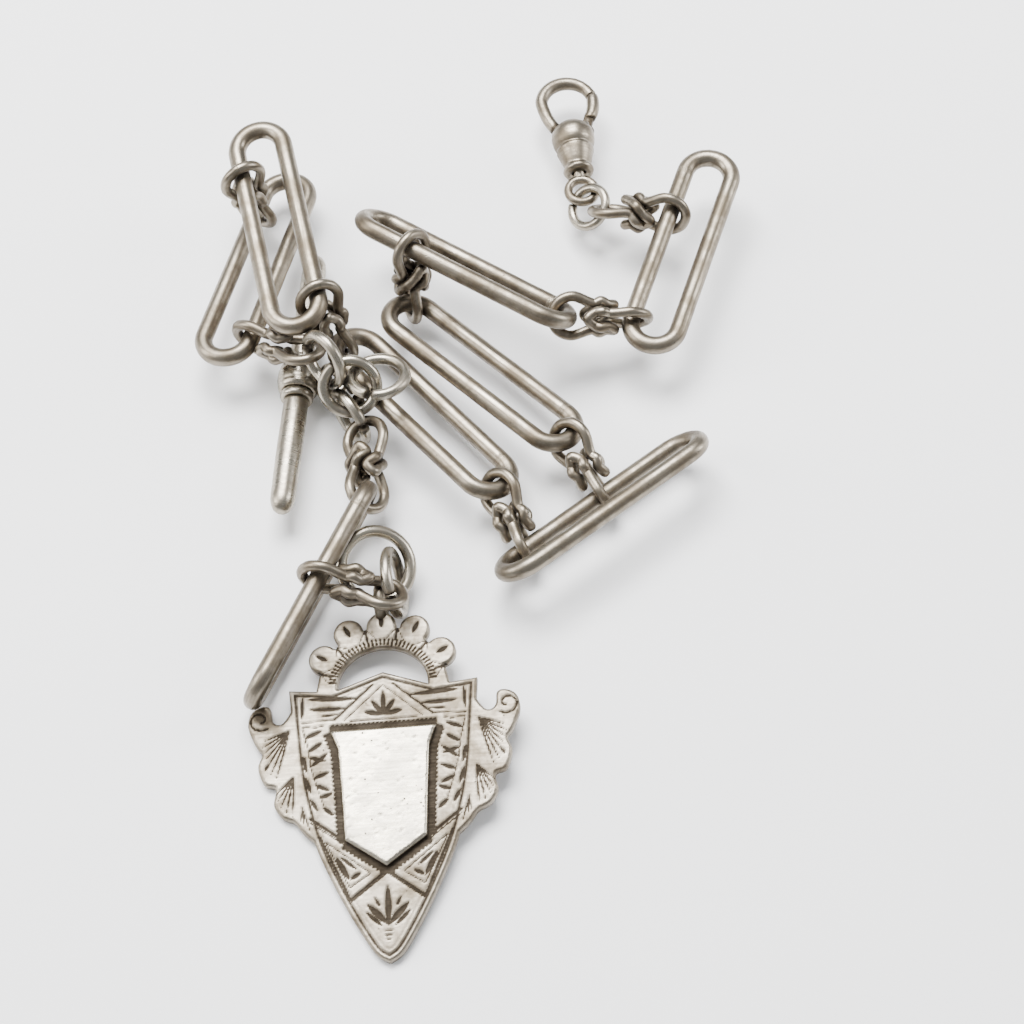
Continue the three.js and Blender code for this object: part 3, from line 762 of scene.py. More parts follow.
def bar_lay():
    """The T-bar's axes: X from arm 1 to arm 2, its eye at -Y."""
    first, second, knop = (node_points(n) for n in ("t_arm_1", "t_arm_2", "t_knop"))
    ends = [(p.max(0) + p.min(0)) / 2 for p in (first, second)]
    x = ends[1] - ends[0]
    x = principal_axes(np.vstack([first, second]))[1][0] * (1 if x @ principal_axes(np.vstack([first, second]))[1][0] > 0 else -1)
    both = np.vstack([first, second])
    middle = both.mean(0)
    along = (both - middle) @ x
    middle = middle + x * (along.max() + along.min()) / 2
    eye = knop.mean(0) - middle
    eye -= x * (eye @ x)
    eye /= np.linalg.norm(eye)
    return Lay(middle, x, np.cross(x, -eye))


class WATCHCHAIN_OT_t_bar(bpy.types.Operator):
    """Makes the T-bar: knop with its eye, two collars and two arms"""

    bl_idname = "watchchain.t_bar"
    bl_label = "T-bar"

    def execute(self, context):
        survey()
        lay = bar_lay()
        arms = {"t_arm_1": -1, "t_arm_2": 1}
        for name, side in arms.items():
            own = Lay(lay.origin, side * lay.axes[0], lay.axes[2])
            profile = [(0.72, 0.0), (0.72, 0.68), (2.92, 0.68), (2.92, 1.36), (2.99, 1.42)]
            profile += [(3.0 + 12.8 * t, 1.42 + 0.065 * math.sin(math.pi * min(1, t * 1.1))) for t in np.linspace(0.02, 1, 15)]
            profile += [(15.8 + 2.18 * math.sin(a), 1.42 * math.cos(a) ** 0.8) for a in arc(12, 84, 10)]
            profile += [(17.98, 0.0)]
            mesh = turned_mesh(name, profile, own, steps=64)
            finished(scene_object(name + "_turned", mesh), name, bar_silver())
        for name, side in {"t_collar_1": -1, "t_collar_2": 1}.items():
            own = Lay(lay.origin, side * lay.axes[0], lay.axes[2])
            bead = [(2.35 + 0.49 * math.sin(a), 1.68 + 0.26 * math.cos(a)) for a in arc(-90, 90, 14)]
            profile = [(1.86, 0.76), *bead, (2.84, 0.76), (1.86, 0.76)]
            mesh = turned_mesh(name, profile, own, steps=64)
            finished(scene_object(name + "_turned", mesh), name, bar_silver())
        ball = [(1.79 * math.sin(a), 1.9 + 0.58 * math.cos(a) ** 0.85) for a in arc(-89, 89, 26)]
        groove = [(x, r - 0.09 * math.exp(-((abs(x) - 0.95) / 0.13) ** 2)) for x, r in ball]
        profile = [(-0.9, 0.0), (-0.9, 0.74), (-1.79, 0.74), *groove, (1.79, 0.74), (0.9, 0.74), (0.9, 0.0)]
        knop = turned_mesh("t_knop", profile, lay, steps=80)
        turn = arc(0, 360, 72)[:-1]
        eye = np.column_stack([1.7 * np.sin(turn), -3.7 - 1.7 * np.cos(turn), 0 * turn])
        loop = wire_mesh("t_eye", lay.place(eye), 0.59, True, None, 6)
        points = mesh_points(loop)
        own = lay.local(points)
        write_attribute(loop, "grain", "FLOAT_VECTOR", own)
        near_ball = np.clip(1 - (np.linalg.norm(own * [1, 1, 1], axis=1) - 2.45) / 0.5, 0, 1)
        write_attribute(loop, "hollow", "FLOAT", np.maximum(near_ball, hollows("t_eye", points, 0.5)))
        whole = joined("t_knop", [knop, loop])
        finished(scene_object("t_knop_turned", whole), "t_knop", bar_silver())
        return {"FINISHED"}


# ---------------------------------------------------------------- swivel clasp

def clasp_lay():
    """The clasp's axes from its two joints: X along the swivel's stem, Z along the gate's pin."""
    swivel, gate = joint_named("clasp_swivel"), joint_named("gate_hinge")
    return Lay(joint_origin(swivel), joint_axis(swivel), joint_axis(gate))


def joint_origin(joint):
    return np.array(joint["pos_m"], float) / MM


def joint_axis(joint):
    return np.array(joint["axis"], float)


class WATCHCHAIN_OT_clasp(bpy.types.Operator):
    """Makes the swivel clasp: eye and stem, hook and barrel, gate and pin"""

    bl_idname = "watchchain.clasp"
    bl_label = "Swivel clasp"

    def execute(self, context):
        survey()
        lay = clasp_lay()
        self.swivel(lay)
        self.body(lay)
        self.gate(lay)
        return {"FINISHED"}

    def swivel(self, lay):
        turn = arc(0, 360, 64)[:-1]
        line = np.column_stack([-2.3 + 1.65 * np.cos(turn), 1.65 * np.sin(turn), 0 * turn])
        eye = wire_mesh("swivel_loop", lay.place(line), 0.54, True, None, 6)
        points = mesh_points(eye)
        write_attribute(eye, "grain", "FLOAT_VECTOR", lay.local(points))
        write_attribute(eye, "hollow", "FLOAT", hollows("swivel_eye", points, 0.6))
        profile = [(-0.75, 0.0), (-0.7, 0.5), (-0.45, 0.64), (2.2, 0.64), (2.2, 1.0), (2.28, 1.04),
                   (2.82, 1.04), (2.89, 0.98), (2.89, 0.0)]
        stem = turned_mesh("swivel_stem", profile, lay, steps=48)
        whole = joined("swivel_eye", [eye, stem])
        finished(scene_object("swivel_eye_turned", whole), "swivel_eye", aged_silver())

    def body(self, lay):
        barrel = [(0.9, 0.9), (0.22, 0.9), (0.22, 1.55), (0.35, 1.74), (0.62, 1.87), (0.9, 1.8), (1.08, 1.6),
                  (1.22, 1.52), (1.38, 1.53), (1.6, 1.66), (2.1, 1.84), (2.9, 2.08), (3.45, 2.26), (3.55, 2.28),
                  (3.78, 2.27), (3.86, 2.15), (3.93, 2.1), (4.08, 2.18), (4.3, 2.36), (4.8, 2.54), (5.4, 2.63),
                  (5.8, 2.64), (6.3, 2.56), (6.75, 2.32), (7.2, 1.88), (7.5, 1.3), (7.65, 0.6), (7.68, 0.0)]
        mesh = turned_mesh("clasp_barrel", barrel, lay, steps=96)
        bow = [(10.95 + 3.2 * math.cos(a), 3.2 * math.sin(a), 0.0) for a in arc(80, -72, 20)]
        foot = [(6.1, 1.25, 0.0), (7.4, 2.05, 0.0), (9.2, 2.78, 0.0)]
        line = smooth_open(foot + bow, 5)
        count = len(line)
        share = np.linspace(0, 1, count)
        swell = 0.86 + 0.14 * np.sin(np.pi * np.clip(share * 1.15, 0, 1)) ** 0.8
        hook = wire_mesh("clasp_hook", lay.place(line), 0.82, False, swell, 8)
        points = mesh_points(hook)
        own = lay.local(points)
        write_attribute(hook, "grain", "FLOAT_VECTOR", own * [1.0, 0.4, 1.0])
        ball_gap = np.linalg.norm(own - [5.8, 0, 0], axis=1) - 2.6
        hollow = np.clip(1 - ball_gap / 0.6, 0, 1)
        # Painted shade: the inner side of the hook's bow, and the whole bow ramping up towards its end, are darkened
        # through the hollow attribute, on top of the tarnish where the hook meets the barrel.
        inner_side_shade = np.clip((3.0 - np.hypot(own[:, 0] - 10.95, own[:, 1])) / 1.2, 0, 1) * (own[:, 0] > 8)
        bow = np.clip((own[:, 0] - 8.0) / 3.0, 0, 1)
        write_attribute(hook, "hollow", "FLOAT", np.clip(hollow + 0.3 * inner_side_shade + 0.22 * bow, 0, 1))
        whole = joined("clasp_body", [mesh, hook])
        slot = scene_object("clasp_body_turned", whole)
        finished(slot, "clasp_body", aged_silver())

    def gate(self, lay):
        line = smooth_open([(8.35, -2.35, 0.0), (9.3, -2.85, 0.0), (10.2, -3.1, 0.0), (11.2, -3.2, 0.0), (11.75, -3.2, 0.0)], 8)
        share = np.linspace(0, 1, len(line))
        wire = wire_mesh("gate_wire", lay.place(line), 0.8, False, 0.86 + 0.14 * np.sin(np.pi * share) ** 0.7, 8)
        own = lay.local(mesh_points(wire))
        write_attribute(wire, "grain", "FLOAT_VECTOR", own)
        write_attribute(wire, "hollow", "FLOAT", np.clip(1 - np.minimum(np.abs(own[:, 0] - 8.2), np.abs(11.85 - own[:, 0])) / 0.4, 0, 1))
        tang = self.tang(lay)
        whole = joined("clasp_gate", [wire, tang])
        finished(scene_object("clasp_gate_filed", whole), "clasp_gate", aged_silver())
        pin = Lay(lay.place([6.3, -1.6, 0]), lay.axes[2], lay.axes[0])
        reach = extent_along("gate_pin", pin) - 0.02
        profile = [(-reach, 0.0), (-reach, 0.3), (-reach + 0.08, 0.38), (reach - 0.08, 0.38), (reach, 0.3), (reach, 0.0)]
        mesh = turned_mesh("gate_pin", profile, pin, steps=32)
        finished(scene_object("gate_pin_turned", mesh), "gate_pin", pin_steel())

    def tang(self, lay):
        bm = bmesh.new()
        eye = bmesh.ops.create_cone(bm, cap_ends=True, segments=32, radius1=1.08, radius2=1.08, depth=0.88,
                                    matrix=Matrix.Translation((6.3, -1.6, 0)))
        arm = Matrix.Translation((7.5, -2.0, 0)) @ Matrix.Rotation(math.radians(-20), 4, "Z") @ Matrix.Diagonal((2.3, 1.2, 0.88, 1))
        bmesh.ops.create_cube(bm, size=1, matrix=arm)
        bmesh.ops.recalc_face_normals(bm, faces=bm.faces)
        sharp = [e for e in bm.edges if e.calc_face_angle(0) > 1.0]
        bmesh.ops.bevel(bm, geom=sharp, offset=0.08, offset_type="OFFSET", affect="EDGES", segments=2,
                        profile=0.5, material=-1)
        mesh = bpy.data.meshes.new("gate_tang")
        bm.to_mesh(mesh)
        bm.free()
        dress_turned(mesh, "gate_tang", lay, lambda own: 0.6 + 0 * own[:, 0])
        return mesh


def extent_along(node, lay):
    return np.abs(lay.local(node_points(node))[:, 0]).max()


# ---------------------------------------------------------------- engraved fob

def fob_lay():
    """The fob's axes: origin at the middle of the shield's top edge, +Y up to its lug, +Z out of its face."""
    plate = node_points("fob_cartouche")
    shield = node_points("fob_shield")
    middle, axes = principal_axes(plate)
    normal = axes[2] if (middle - shield.mean(0)) @ axes[2] > 0 else -axes[2]
    lug = shield[np.linalg.norm(shield - middle, axis=1).argmax()]
    tip = plate[np.linalg.norm(plate - lug, axis=1).argmax()]
    reach = np.linalg.norm(plate - tip, axis=1)
    corners = plate[reach > reach.max() - 0.5]
    up = corners.mean(0) - tip
    lay = Lay(tip, np.cross(up, normal), normal)
    own = lay.local(plate)
    across = (own[:, 0].max() + own[:, 0].min()) / 2
    top = own[:, 1].max() + CARTOUCHE_DROP
    return Lay(lay.place([across, top, own[:, 2].min() - CARTOUCHE_LIFT]), lay.axes[0], normal)


def outline_distance(points, outline):
    """Signed distance to a closed outline, negative inside."""
    ends = np.roll(outline, -1, axis=0)
    best = np.full(len(points), 1e9)
    inside = np.zeros(len(points), bool)
    for a, b in zip(outline, ends):
        run = b - a
        share = np.clip(((points - a) @ run) / max(run @ run, 1e-12), 0, 1)
        best = np.minimum(best, np.linalg.norm(points - a - share[:, None] * run, axis=1))
        cross = (a[1] > points[:, 1]) != (b[1] > points[:, 1])
        with np.errstate(divide="ignore", invalid="ignore"):
            at = a[0] + (points[:, 1] - a[1]) * run[0] / run[1]
        inside ^= cross & (points[:, 0] < at)
    return np.where(inside, -best, best)


def both_sides(side):
    side = np.array(side, float)
    return np.vstack([side, (side * [-1, 1])[::-1]])


def shield_outline():
    side = [(10.25, 0), (9.84, -4.85), (9.22, -10.6), (7.69, -16.97), (5.84, -21.5), (2.97, -26.97), (1.23, -29.54)]
    right = smooth_open([(x, y, 0.0) for x, y in side] + [(0.0, -30.3, 0.0)], 6)[:, :2]
    left = (right[:-1] * [-1, 1])[::-1]
    return np.vstack([right, left, [(-5.53, -0.49), (0, 1.4), (5.53, -0.49)]])


def wing_outline(side):
    edge = [(-0.1, 0.14), (0.2, 0.25), (0.42, 0.21), (0.45, 0.13), (0.72, 0.11), (0.96, 0.17), (1, 0.25), (0.78, 0.42),
            (0.66, 0.47), (0.76, 0.56), (0.62, 0.69), (0.32, 0.74), (0.38, 0.84), (0.2, 0.94), (-0.12, 0.99),
            (-0.3, 1.06), (-0.5, 1.12), (-0.75, 1.17)]
    line = smooth_open([(x, y, 0.0) for x, y in edge], 5)[:, :2]
    line = np.vstack([line, [(-1.5, 1), (-1, 0.14)]])
    return np.column_stack([side * (10.25 + 4.45 * line[:, 0]), -15 * line[:, 1]])


def fob_distance(points):
    """Signed distance to the fob's whole outline, with its half-moon opening."""
    width, height, lobe = 7.4, 7.2, 1.65
    turn = np.radians(np.linspace(167.4, 12.6, 40))
    dome = np.column_stack([0.93 * width * np.cos(turn), 0.93 * height * np.sin(turn)])
    arch = np.vstack([[(-width, -1), (-0.93 * width, 0.2 * height)], dome, [(0.93 * width, 0.2 * height), (width, -1)]])
    crown = outline_distance(points, arch)
    for angle in (28, 60, 90, 120, 152):
        reach = 0.93 if angle == 90 else 0.98
        centre = reach * np.array([width * math.cos(math.radians(angle)), height * math.sin(math.radians(angle))])
        crown = np.minimum(crown, np.linalg.norm(points - centre, axis=1) - lobe)
    turn = arc(0, 180, 48)
    moon = np.vstack([np.column_stack([4.9 * np.cos(turn), 4.2 * np.sin(turn)]), [(-4.9, -1.4), (4.9, -1.4)]])
    crown = np.maximum(crown, -outline_distance(points, moon))
    whole = np.minimum(crown, outline_distance(points, shield_outline()))
    for side in (-1, 1):
        whole = np.minimum(whole, outline_distance(points, wing_outline(side)))
    return whole


def cartouche_outline():
    side = [(5.7, -5.2), (4.9, -7.31), (4.56, -12.75), (4.33, -17.28)]
    return np.vstack([side, [(0, -20.3)], [(-x, y) for x, y in reversed(side)]])


class Graver:
    """Cuts strokes into a flat face: how deep each point is cut, and how much dark it holds."""

    def __init__(self, points):
        self.points = points
        self.cut = np.zeros(len(points))
        self.dark = np.zeros(len(points))

    def line(self, start, end, width=0.26, depth=0.8, leaf=False):
        """One stroke, even along its length, or swelling in its middle as a leaf cut does."""
        a, b = np.array(start, float), np.array(end, float)
        low, high = np.minimum(a, b) - width, np.maximum(a, b) + width
        near = np.flatnonzero(np.all((self.points > low) & (self.points < high), axis=1))
        if not len(near):
            return
        run = b - a
        share = np.clip(((self.points[near] - a) @ run) / (run @ run), 0, 1)
        away = np.linalg.norm(self.points[near] - a - share[:, None] * run, axis=1)
        half = STROKE_WEIGHT * width / 2 * (np.sin(np.pi * np.clip(share, 0.02, 0.98)) ** 0.7 if leaf else 1)
        amount = np.clip(1 - away / half, 0, 1)
        self.cut[near] = np.maximum(self.cut[near], depth * amount ** 0.8)
        self.dark[near] = np.maximum(self.dark[near], np.clip(2.0 * amount, 0, 1) * min(1, depth + 0.25))

    def path(self, points, **stroke):
        for a, b in zip(points, points[1:]):
            self.line(a, b, **stroke)

    def pair(self, start, end, **stroke):
        """The same stroke on both sides of the middle."""
        self.line(start, end, **stroke)
        self.line((-start[0], start[1]), (-end[0], end[1]), **stroke)

    def pair_path(self, points, **stroke):
        self.path(points, **stroke)
        self.path([(-x, y) for x, y in points], **stroke)

    def spray(self, root, tips, width=0.5, depth=0.9):
        for tip in tips:
            self.line(root, tip, width=width, depth=depth, leaf=True)


def engrave(graver):
    """The fob's whole pattern, in millimetres from the middle of the shield's top edge."""
    edge = outline_distance(graver.points, shield_outline())
    for inset, width, depth in ((0.62, 0.2, 0.9), (1.12, 0.1, 0.35)):
        amount = np.clip(1 - np.abs(edge + inset) / width, 0, 1)
        amount *= (edge < 0)
        graver.cut = np.maximum(graver.cut, depth * amount)
        graver.dark = np.maximum(graver.dark, np.clip(1.3 * amount, 0, 1) * depth)
    corners(graver)
    side_sprays(graver)
    foot(graver)
    wings(graver)
    crown(graver)
    wriggle_band(graver)


def corners(graver):
    """Barred corners and the triangle under the peak with its leaf spray."""
    graver.pair((1.05, 0.0), (5.3, -3.75), width=0.2)
    graver.pair((0.0, -0.15), (4.2, -3.9), width=0.14, depth=0.5)
    graver.pair((5.3, -3.75), (8.9, -3.9), width=0.14, depth=0.5)
    graver.pair((2.9, -1.5), (8.2, -1.25), width=0.5, leaf=True)
    graver.pair((4.1, -2.55), (8.0, -2.45), width=0.46, leaf=True)
    graver.pair((4.7, -3.2), (7.2, -3.25), width=0.2, leaf=True, depth=0.6)
    graver.pair((8.75, -1.0), (8.85, -3.4), width=0.34, leaf=True)
    graver.spray((0, -3.5), [(0, -0.9), (-1.25, -1.9), (1.25, -1.9), (-2.1, -3.1), (2.1, -3.1)], width=0.55)
    graver.line((-3.6, -4.05), (3.6, -4.05), width=0.14, depth=0.5)


def side_sprays(graver):
    """Scrolling leaves down both sides of the cartouche."""
    for side in (-1, 1):
        stem = [(side * 8.75, -4.6), (side * 8.2, -6.8), (side * 7.9, -9.0), (side * 7.2, -11.4), (side * 6.4, -13.8)]
        graver.path(stem, width=0.13, depth=0.55)
        leaves = [((8.5, -5.6), (6.7, -4.9)), ((8.2, -7.2), (6.6, -6.2)), ((8.1, -7.8), (6.3, -8.3)),
                  ((8.0, -8.9), (6.1, -7.5)), ((7.7, -10.2), (6.0, -9.6)), ((7.5, -10.9), (5.9, -11.6)),
                  ((7.0, -12.4), (5.6, -11.9)), ((6.7, -13.4), (5.5, -14.4)), ((8.4, -9.4), (8.7, -7.6)),
                  ((7.9, -11.8), (8.5, -10.0)), ((7.2, -13.8), (8.0, -12.4))]
        for root, tip in leaves:
            graver.line((side * root[0], root[1]), (side * tip[0], tip[1]), width=0.42, leaf=True)
        graver.path([(side * 8.9, -4.3), (side * 7.3, -4.5), (side * 6.4, -4.3)], width=0.12, depth=0.5)


def foot(graver):
    """Crossed bands below the cartouche, nested triangles beside them and the spray above the tip."""
    for width, shift in ((0.3, 0.0), (0.13, 0.42)):
        graver.pair((8.0, -14.6 - shift), (-3.9, -23.6 - shift * 0.6), width=width)
    graver.pair_path([(7.0, -16.7), (4.0, -23.4)], width=0.26)
    graver.pair_path([(6.45, -17.2), (3.95, -22.3), (1.75, -20.9), (6.45, -17.2)], width=0.13, depth=0.6)
    graver.pair((5.35, -18.9), (3.95, -21.5), width=0.62, leaf=True)
    graver.pair((3.9, -21.4), (2.75, -20.75), width=0.42, leaf=True)
    graver.pair((4.95, -18.9), (3.3, -20.3), width=0.36, leaf=True)
    graver.spray((0, -26.4), [(0, -22.3), (-2.15, -24.2), (2.15, -24.2)], width=0.72)
    graver.pair((1.35, -23.6), (0.85, -24.5), width=0.3, leaf=True)
    graver.pair((2.3, -25.0), (0.7, -26.5), width=0.42, leaf=True)
    for drop, half in ((27.1, 0.4), (27.5, 0.3), (27.9, 0.18)):
        graver.line((-half, -drop), (half, -drop), width=0.14, depth=0.6)


def wings(graver):
    """Fans of fine lines out to the lobes, and the scrolls at the top."""
    for side in (-1, 1):
        for tip in ((12.9, -5.6), (13.2, -6.4), (13.2, -7.2), (13.0, -8.0), (12.8, -8.9), (12.3, -9.6), (11.7, -10.2)):
            graver.line((side * 10.15, -4.6), (side * tip[0], tip[1]), width=0.2, depth=0.7, leaf=True)
        for tip in ((11.6, -11.6), (11.5, -12.4), (11.2, -13.2), (10.6, -13.9), (9.9, -14.4)):
            graver.line((side * 9.75, -9.8), (side * tip[0], tip[1]), width=0.2, depth=0.7, leaf=True)
        for tip in ((9.0, -15.0), (8.6, -15.6), (8.0, -16.1)):
            graver.line((side * 8.9, -13.2), (side * tip[0], tip[1]), width=0.18, depth=0.6, leaf=True)
        scroll = [(side * (13.35 + (1.05 - 0.09 * k) * math.cos(0.55 * k)), -3.2 + (0.95 - 0.08 * k) * math.sin(0.55 * k))
                  for k in range(-4, 9)]
        graver.path(scroll, width=0.2, depth=0.75)
        graver.line((side * 12.4, -8.2), (side * 12.9, -8.9), width=0.3, leaf=True)


def crown(graver):
    """Beads round the half-moon opening, facets between the lobes and a leaf cut in each lobe."""
    for angle in np.arange(4, 178, 4.6):
        out = np.array([math.cos(math.radians(angle)), math.sin(math.radians(angle))])
        for reach in (0.42, 0.82):
            spot = out * (4.9 + reach, 4.2 + reach)
            graver.line(spot - out * 0.09, spot + out * 0.09, width=0.26, depth=0.8)
    for angle in (14, 44, 75, 105, 136, 166):
        out = np.array([math.cos(math.radians(angle)), math.sin(math.radians(angle))])
        graver.line(out * (5.9, 5.2), out * (7.3, 7.0), width=0.24, depth=0.8)
        for turn in (-9, 9):
            tip = np.array([math.cos(math.radians(angle + turn)), math.sin(math.radians(angle + turn))])
            graver.line(out * (6.9, 6.6), tip * (5.95, 5.3), width=0.13, depth=0.5)
    for angle in (28, 60, 90, 120, 152):
        out = np.array([math.cos(math.radians(angle)), math.sin(math.radians(angle))])
        graver.line(out * (6.75, 6.5), out * (8.15, 7.95), width=0.5, leaf=True)


def wriggle_band(graver):
    """The dark zigzag band cut round the cartouche."""
    outline = cartouche_outline()
    ends = np.roll(outline, -1, axis=0)
    for a, b in zip(outline, ends):
        run = b - a
        length = np.linalg.norm(run)
        out = np.array([run[1], -run[0]]) / length
        if np.dot(out, (a + b) / 2 - outline.mean(0)) < 0:
            out = -out
        for k in range(int(length / 0.24) + 1):
            spot = a + run * min(1, 0.24 * k / length)
            reach = 0.62 + (0.16 if k % 2 else 0.0)
            graver.line(spot - out * 0.05, spot + out * reach, width=0.3, depth=0.95)


def plate_mesh(name, size, step, distance, thickness, rounding, height):
    """A sheet cut to the outline where distance is 0, with a rounded edge and a shaped face."""
    (low_x, high_x), (low_y, high_y) = size
    bm = bmesh.new()
    across, down = int((high_x - low_x) / step), int((high_y - low_y) / step)
    place = Matrix.Translation(((low_x + high_x) / 2, (low_y + high_y) / 2, 0)) @ Matrix.Diagonal(
        ((high_x - low_x) / 2, (high_y - low_y) / 2, 1, 1))
    bmesh.ops.create_grid(bm, x_segments=across, y_segments=down, size=1, matrix=place)
    bm.verts.ensure_lookup_table()
    points = np.array([v.co.xy for v in bm.verts])
    away = distance(points)
    keep = away < 0.45 * step
    bmesh.ops.delete(bm, geom=[v for v, kept in zip(bm.verts, keep) if not kept], context="VERTS")
    loose = [v for v in bm.verts if not v.link_faces]
    bmesh.ops.delete(bm, geom=loose, context="VERTS")
    bm.verts.ensure_lookup_table()
    points = np.array([v.co.xy for v in bm.verts])
    rim = np.array([v.is_boundary for v in bm.verts])
    for _ in range(3):
        away = distance(points)
        nudge = 0.02
        slope = np.column_stack([distance(points + [nudge, 0]) - away, distance(points + [0, nudge]) - away]) / nudge
        slope /= np.maximum(np.linalg.norm(slope, axis=1), 0.3)[:, None]
        points = np.where(rim[:, None], points - slope * away[:, None], points)
    away = distance(points)
    away[rim] = 0.0
    lift = height(points)
    for vert, (x, y), inset, z in zip(bm.verts, points, away, lift):
        round_off = rounding - math.sqrt(max(0.0, rounding ** 2 - max(0.0, rounding + inset) ** 2))
        vert.co = (x, y, thickness - round_off + z)
    top = list(bm.faces)
    wall = bmesh.ops.extrude_face_region(bm, geom=top)
    under = [g for g in wall["geom"] if isinstance(g, bmesh.types.BMVert)]
    for vert in under:
        vert.co.z = 0.0
    bmesh.ops.recalc_face_normals(bm, faces=bm.faces)
    mesh = bpy.data.meshes.new(name)
    bm.to_mesh(mesh)
    bm.free()
    return mesh


class WATCHCHAIN_OT_fob(bpy.types.Operator):
    """Makes the engraved shield fob and its plain cartouche"""

    bl_idname = "watchchain.fob"
    bl_label = "Shield fob"

    def execute(self, context):
        survey()
        sizes = context.scene.chain_sizes
        lay = fob_lay()
        depth = sizes.engraving_depth / MM
        step = sizes.engraving_grid / MM

        def cut_face(points):
            graver = Graver(points)
            engrave(graver)
            return -depth * graver.cut

        plate = plate_mesh("fob_plate", ((-14.9, 14.9), (-30.5, 9.3)), step, fob_distance, 1.08, 0.28, cut_face)
        own = local_points(plate)
        graver = Graver(own[:, :2])
        engrave(graver)
        face = own[:, 2] > 0.6
        dark = np.where(face, graver.dark, 0.1)
        edge = np.clip(1 - (1.08 - own[:, 2]) / 0.4, 0, 1)
        self.dress(plate, lay, own, dark * np.where(face, 1, edge))
        ring = arc(0, 360, 64)[:-1]
        line = np.column_stack([0 * ring, 9.7 + 1.65 * np.cos(ring), 0.55 + 1.65 * np.sin(ring)])
        lug = wire_mesh("fob_lug", lay.place(line), 0.64, True, None, 6)
        points = mesh_points(lug)
        write_attribute(lug, "grain", "FLOAT_VECTOR", lay.local(points))
        write_attribute(lug, "hollow", "FLOAT", hollows("fob_lug", points, 0.6))
        whole = joined("fob_shield", [plate, lug])
        finished(scene_object("fob_shield_engraved", whole), "fob_shield", engraved_silver())
        self.cartouche(lay, step)
        return {"FINISHED"}

    def dress(self, mesh, lay, own, dark):
        points = lay.place(own)
        mesh.vertices.foreach_set("co", (points * MM).ravel())
        write_attribute(mesh, "grain", "FLOAT_VECTOR", own)
        write_attribute(mesh, "hollow", "FLOAT", dark)
        mesh.update()

    def cartouche(self, lay, step):
        outline = cartouche_outline()
        rng = np.random.default_rng(11)
        pits = [(rng.uniform(-4.3, 4.3), rng.uniform(-17.5, -5.6), rng.uniform(0.12, 0.3), rng.uniform(0.3, 1)) for _ in range(90)]

        def dents(points):
            deep = np.zeros(len(points))
            for x, y, size, amount in pits:
                gap = np.hypot(points[:, 0] - x, points[:, 1] - y)
                deep = np.maximum(deep, amount * np.clip(1 - gap / size, 0, 1))
            return deep

        plate = plate_mesh("fob_cartouche", ((-5.8, 5.8), (-20.4, -5.1)), step, lambda p: outline_distance(p, outline),
                           0.58, 0.22, lambda p: -0.05 * dents(p))
        own = local_points(plate)
        dark = 0.55 * dents(own[:, :2]) * (own[:, 2] > 0.3)
        # Painted shade: the cartouche's wall darkens towards its foot, where it stands on the shield, and goes into its
        # hollow attribute together with the pits.
        foot = np.clip(1 - own[:, 2] / 0.35, 0, 1)
        own[:, 2] += 1.16
        self.dress(plate, lay, own, np.maximum(dark, foot))
        finished(scene_object("fob_cartouche_polished", plate), "fob_cartouche", cartouche_silver())


def local_points(mesh):
    flat = np.empty(len(mesh.vertices) * 3)
    mesh.vertices.foreach_get("co", flat)
    return flat.reshape(-1, 3)


# ---------------------------------------------------------------- table, lights and camera

def soft_light(name, spot, aim, size, power, tint=(1, 1, 1)):
    data = bpy.data.lights.new(name, "AREA")
    data.shape = "RECTANGLE"
    data.size, data.size_y = size
    data.energy = power
    data.color = tint
    lamp = bpy.data.objects.new(name, data)
    lamp.location = spot
    lamp.rotation_euler = (Vector(aim) - Vector(spot)).to_track_quat("-Z", "Y").to_euler()
    bpy.context.scene.collection.objects.link(lamp)


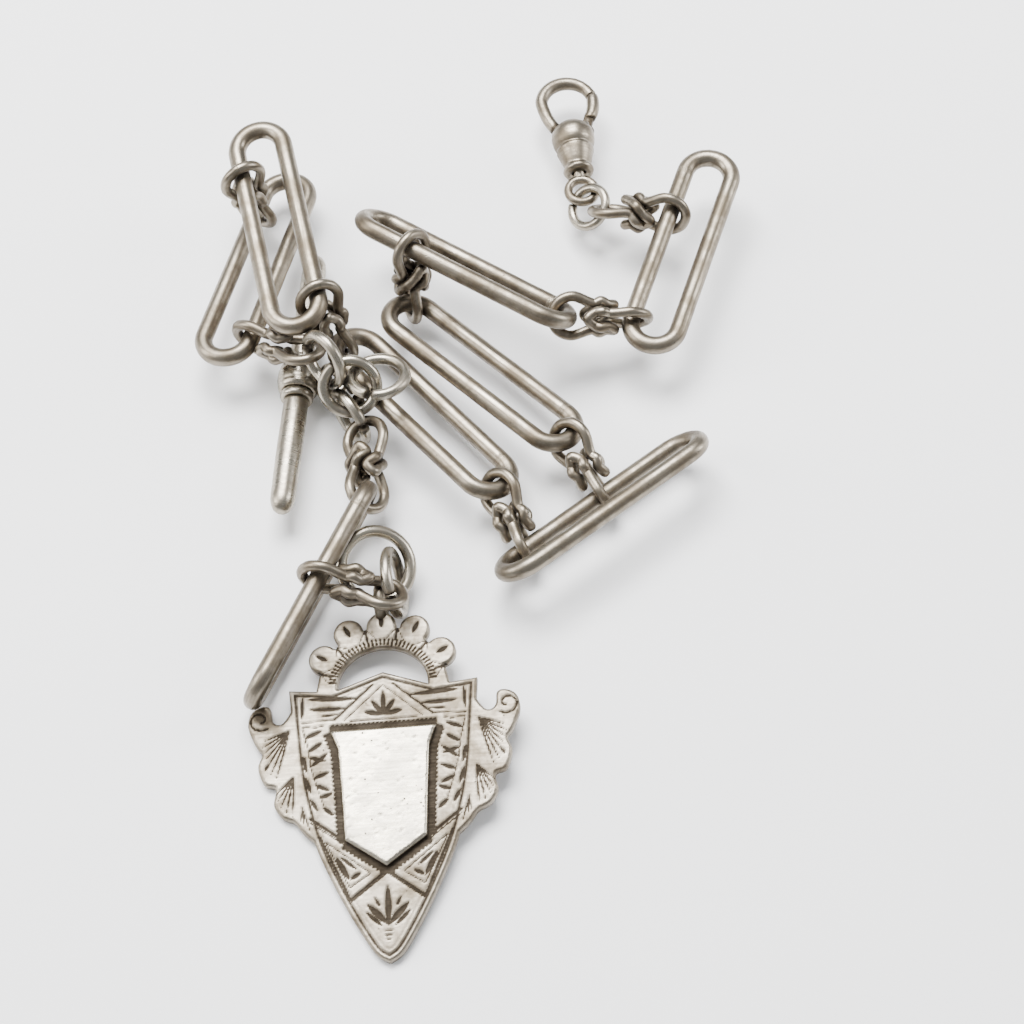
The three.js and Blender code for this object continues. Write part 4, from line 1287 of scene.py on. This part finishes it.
class WATCHCHAIN_OT_stage(bpy.types.Operator):
    """Lays the table, hangs the softboxes and sets the camera"""

    bl_idname = "watchchain.stage"
    bl_label = "Table, lights and camera"

    def execute(self, context):
        self.table(context)
        self.lights(context)
        self.camera(context)
        return {"FINISHED"}

    def table(self, context):
        bm = bmesh.new()
        bmesh.ops.create_grid(bm, x_segments=8, y_segments=8, size=2.0)
        mesh = bpy.data.meshes.new("table_top")
        bm.to_mesh(mesh)
        bm.free()
        table = scene_object("table_top", mesh)
        low = CAD_BOX[0][2]
        for vert in mesh.vertices:
            vert.co.z = low - 0.00002
        made = Finish("table_paper")
        position = made.node("TexCoord").outputs["Object"]
        mottle = made.fitted(made.noise(position, 18.0, 2.0), 0.3, 0.7)
        colour = context.scene.chain_finish.table
        made.join(made.mix(mottle, rgba(colour), rgba(colour, 0.985)), made.shader.inputs["Base Color"])
        made.shader.inputs["Roughness"].default_value = 0.6
        made.shader.inputs["Specular IOR Level"].default_value = 0.25
        mesh.materials.append(made.material)

    def lights(self, context):
        light = context.scene.chain_light
        middle = Vector(((CAD_BOX[0][0] + CAD_BOX[1][0]) / 2, (CAD_BOX[0][1] + CAD_BOX[1][1]) / 2, 0))
        soft_light("overhead_softbox", middle + Vector((-0.12, 0.3, 0.62)), middle, (0.5, 0.34), light.key)
        soft_light("left_softbox", middle + Vector((-0.6, 0.0, 0.36)), middle, (0.3, 0.5), light.side, (1.0, 0.98, 0.95))
        soft_light("right_softbox", middle + Vector((0.6, 0.15, 0.3)), middle, (0.18, 0.4), 0.6 * light.side)
        world = bpy.data.worlds.new("studio")
        world.use_nodes = True
        world.node_tree.nodes["Background"].inputs["Color"].default_value = (0.93, 0.96, 1.0, 1)
        world.node_tree.nodes["Background"].inputs["Strength"].default_value = light.room
        context.scene.world = world

    def camera(self, context):
        middle_link = link_lay("trombone_4").origin
        aim = Vector((middle_link + np.array([-10.1, 1.7, -4.845])) * MM)
        rise = math.radians(62)
        data = bpy.data.cameras.new("camera")
        data.sensor_width = 36
        data.lens = 77.34
        data.clip_start = 0.01
        eye = bpy.data.objects.new("camera", data)
        eye.location = aim + Vector((0, -math.cos(rise), math.sin(rise))) * 0.25
        eye.rotation_euler = (math.pi / 2 - rise, 0, 0)
        context.scene.collection.objects.link(eye)
        context.scene.camera = eye


# ---------------------------------------------------------------- panel and registration

class WATCHCHAIN_PT_panel(bpy.types.Panel):
    """Lists the chain's sizes, finishes and steps"""

    bl_idname = "WATCHCHAIN_PT_panel"
    bl_label = "Watch chain"
    bl_space_type = "VIEW_3D"
    bl_region_type = "UI"
    bl_category = "Watch chain"

    def draw(self, context):
        for group in ("chain_sizes", "chain_finish", "chain_light"):
            values = getattr(context.scene, group)
            box = self.layout.box()
            for key in values.bl_rna.properties.keys():
                if key not in ("rna_type", "name"):
                    box.prop(values, key)
        for step in STEPS:
            self.layout.operator(step.bl_idname)


STEPS = (
    WATCHCHAIN_OT_links,
    WATCHCHAIN_OT_knots,
    WATCHCHAIN_OT_rings,
    WATCHCHAIN_OT_t_bar,
    WATCHCHAIN_OT_clasp,
    WATCHCHAIN_OT_fob,
    WATCHCHAIN_OT_stage,
)
CLASSES = (ChainSizes, ChainFinish, ChainLight, *STEPS, WATCHCHAIN_PT_panel)
GROUPS = {"chain_sizes": ChainSizes, "chain_finish": ChainFinish, "chain_light": ChainLight}


def register():
    for cls in CLASSES:
        bpy.utils.register_class(cls)
    for name, group in GROUPS.items():
        setattr(bpy.types.Scene, name, bpy.props.PointerProperty(type=group))


def unregister():
    for name in GROUPS:
        delattr(bpy.types.Scene, name)
    for cls in reversed(CLASSES):
        bpy.utils.unregister_class(cls)


def main():
    register()
    for step in STEPS:
        group, name = step.bl_idname.split(".")
        getattr(getattr(bpy.ops, group), name)()


if __name__ == "__main__":
    main()
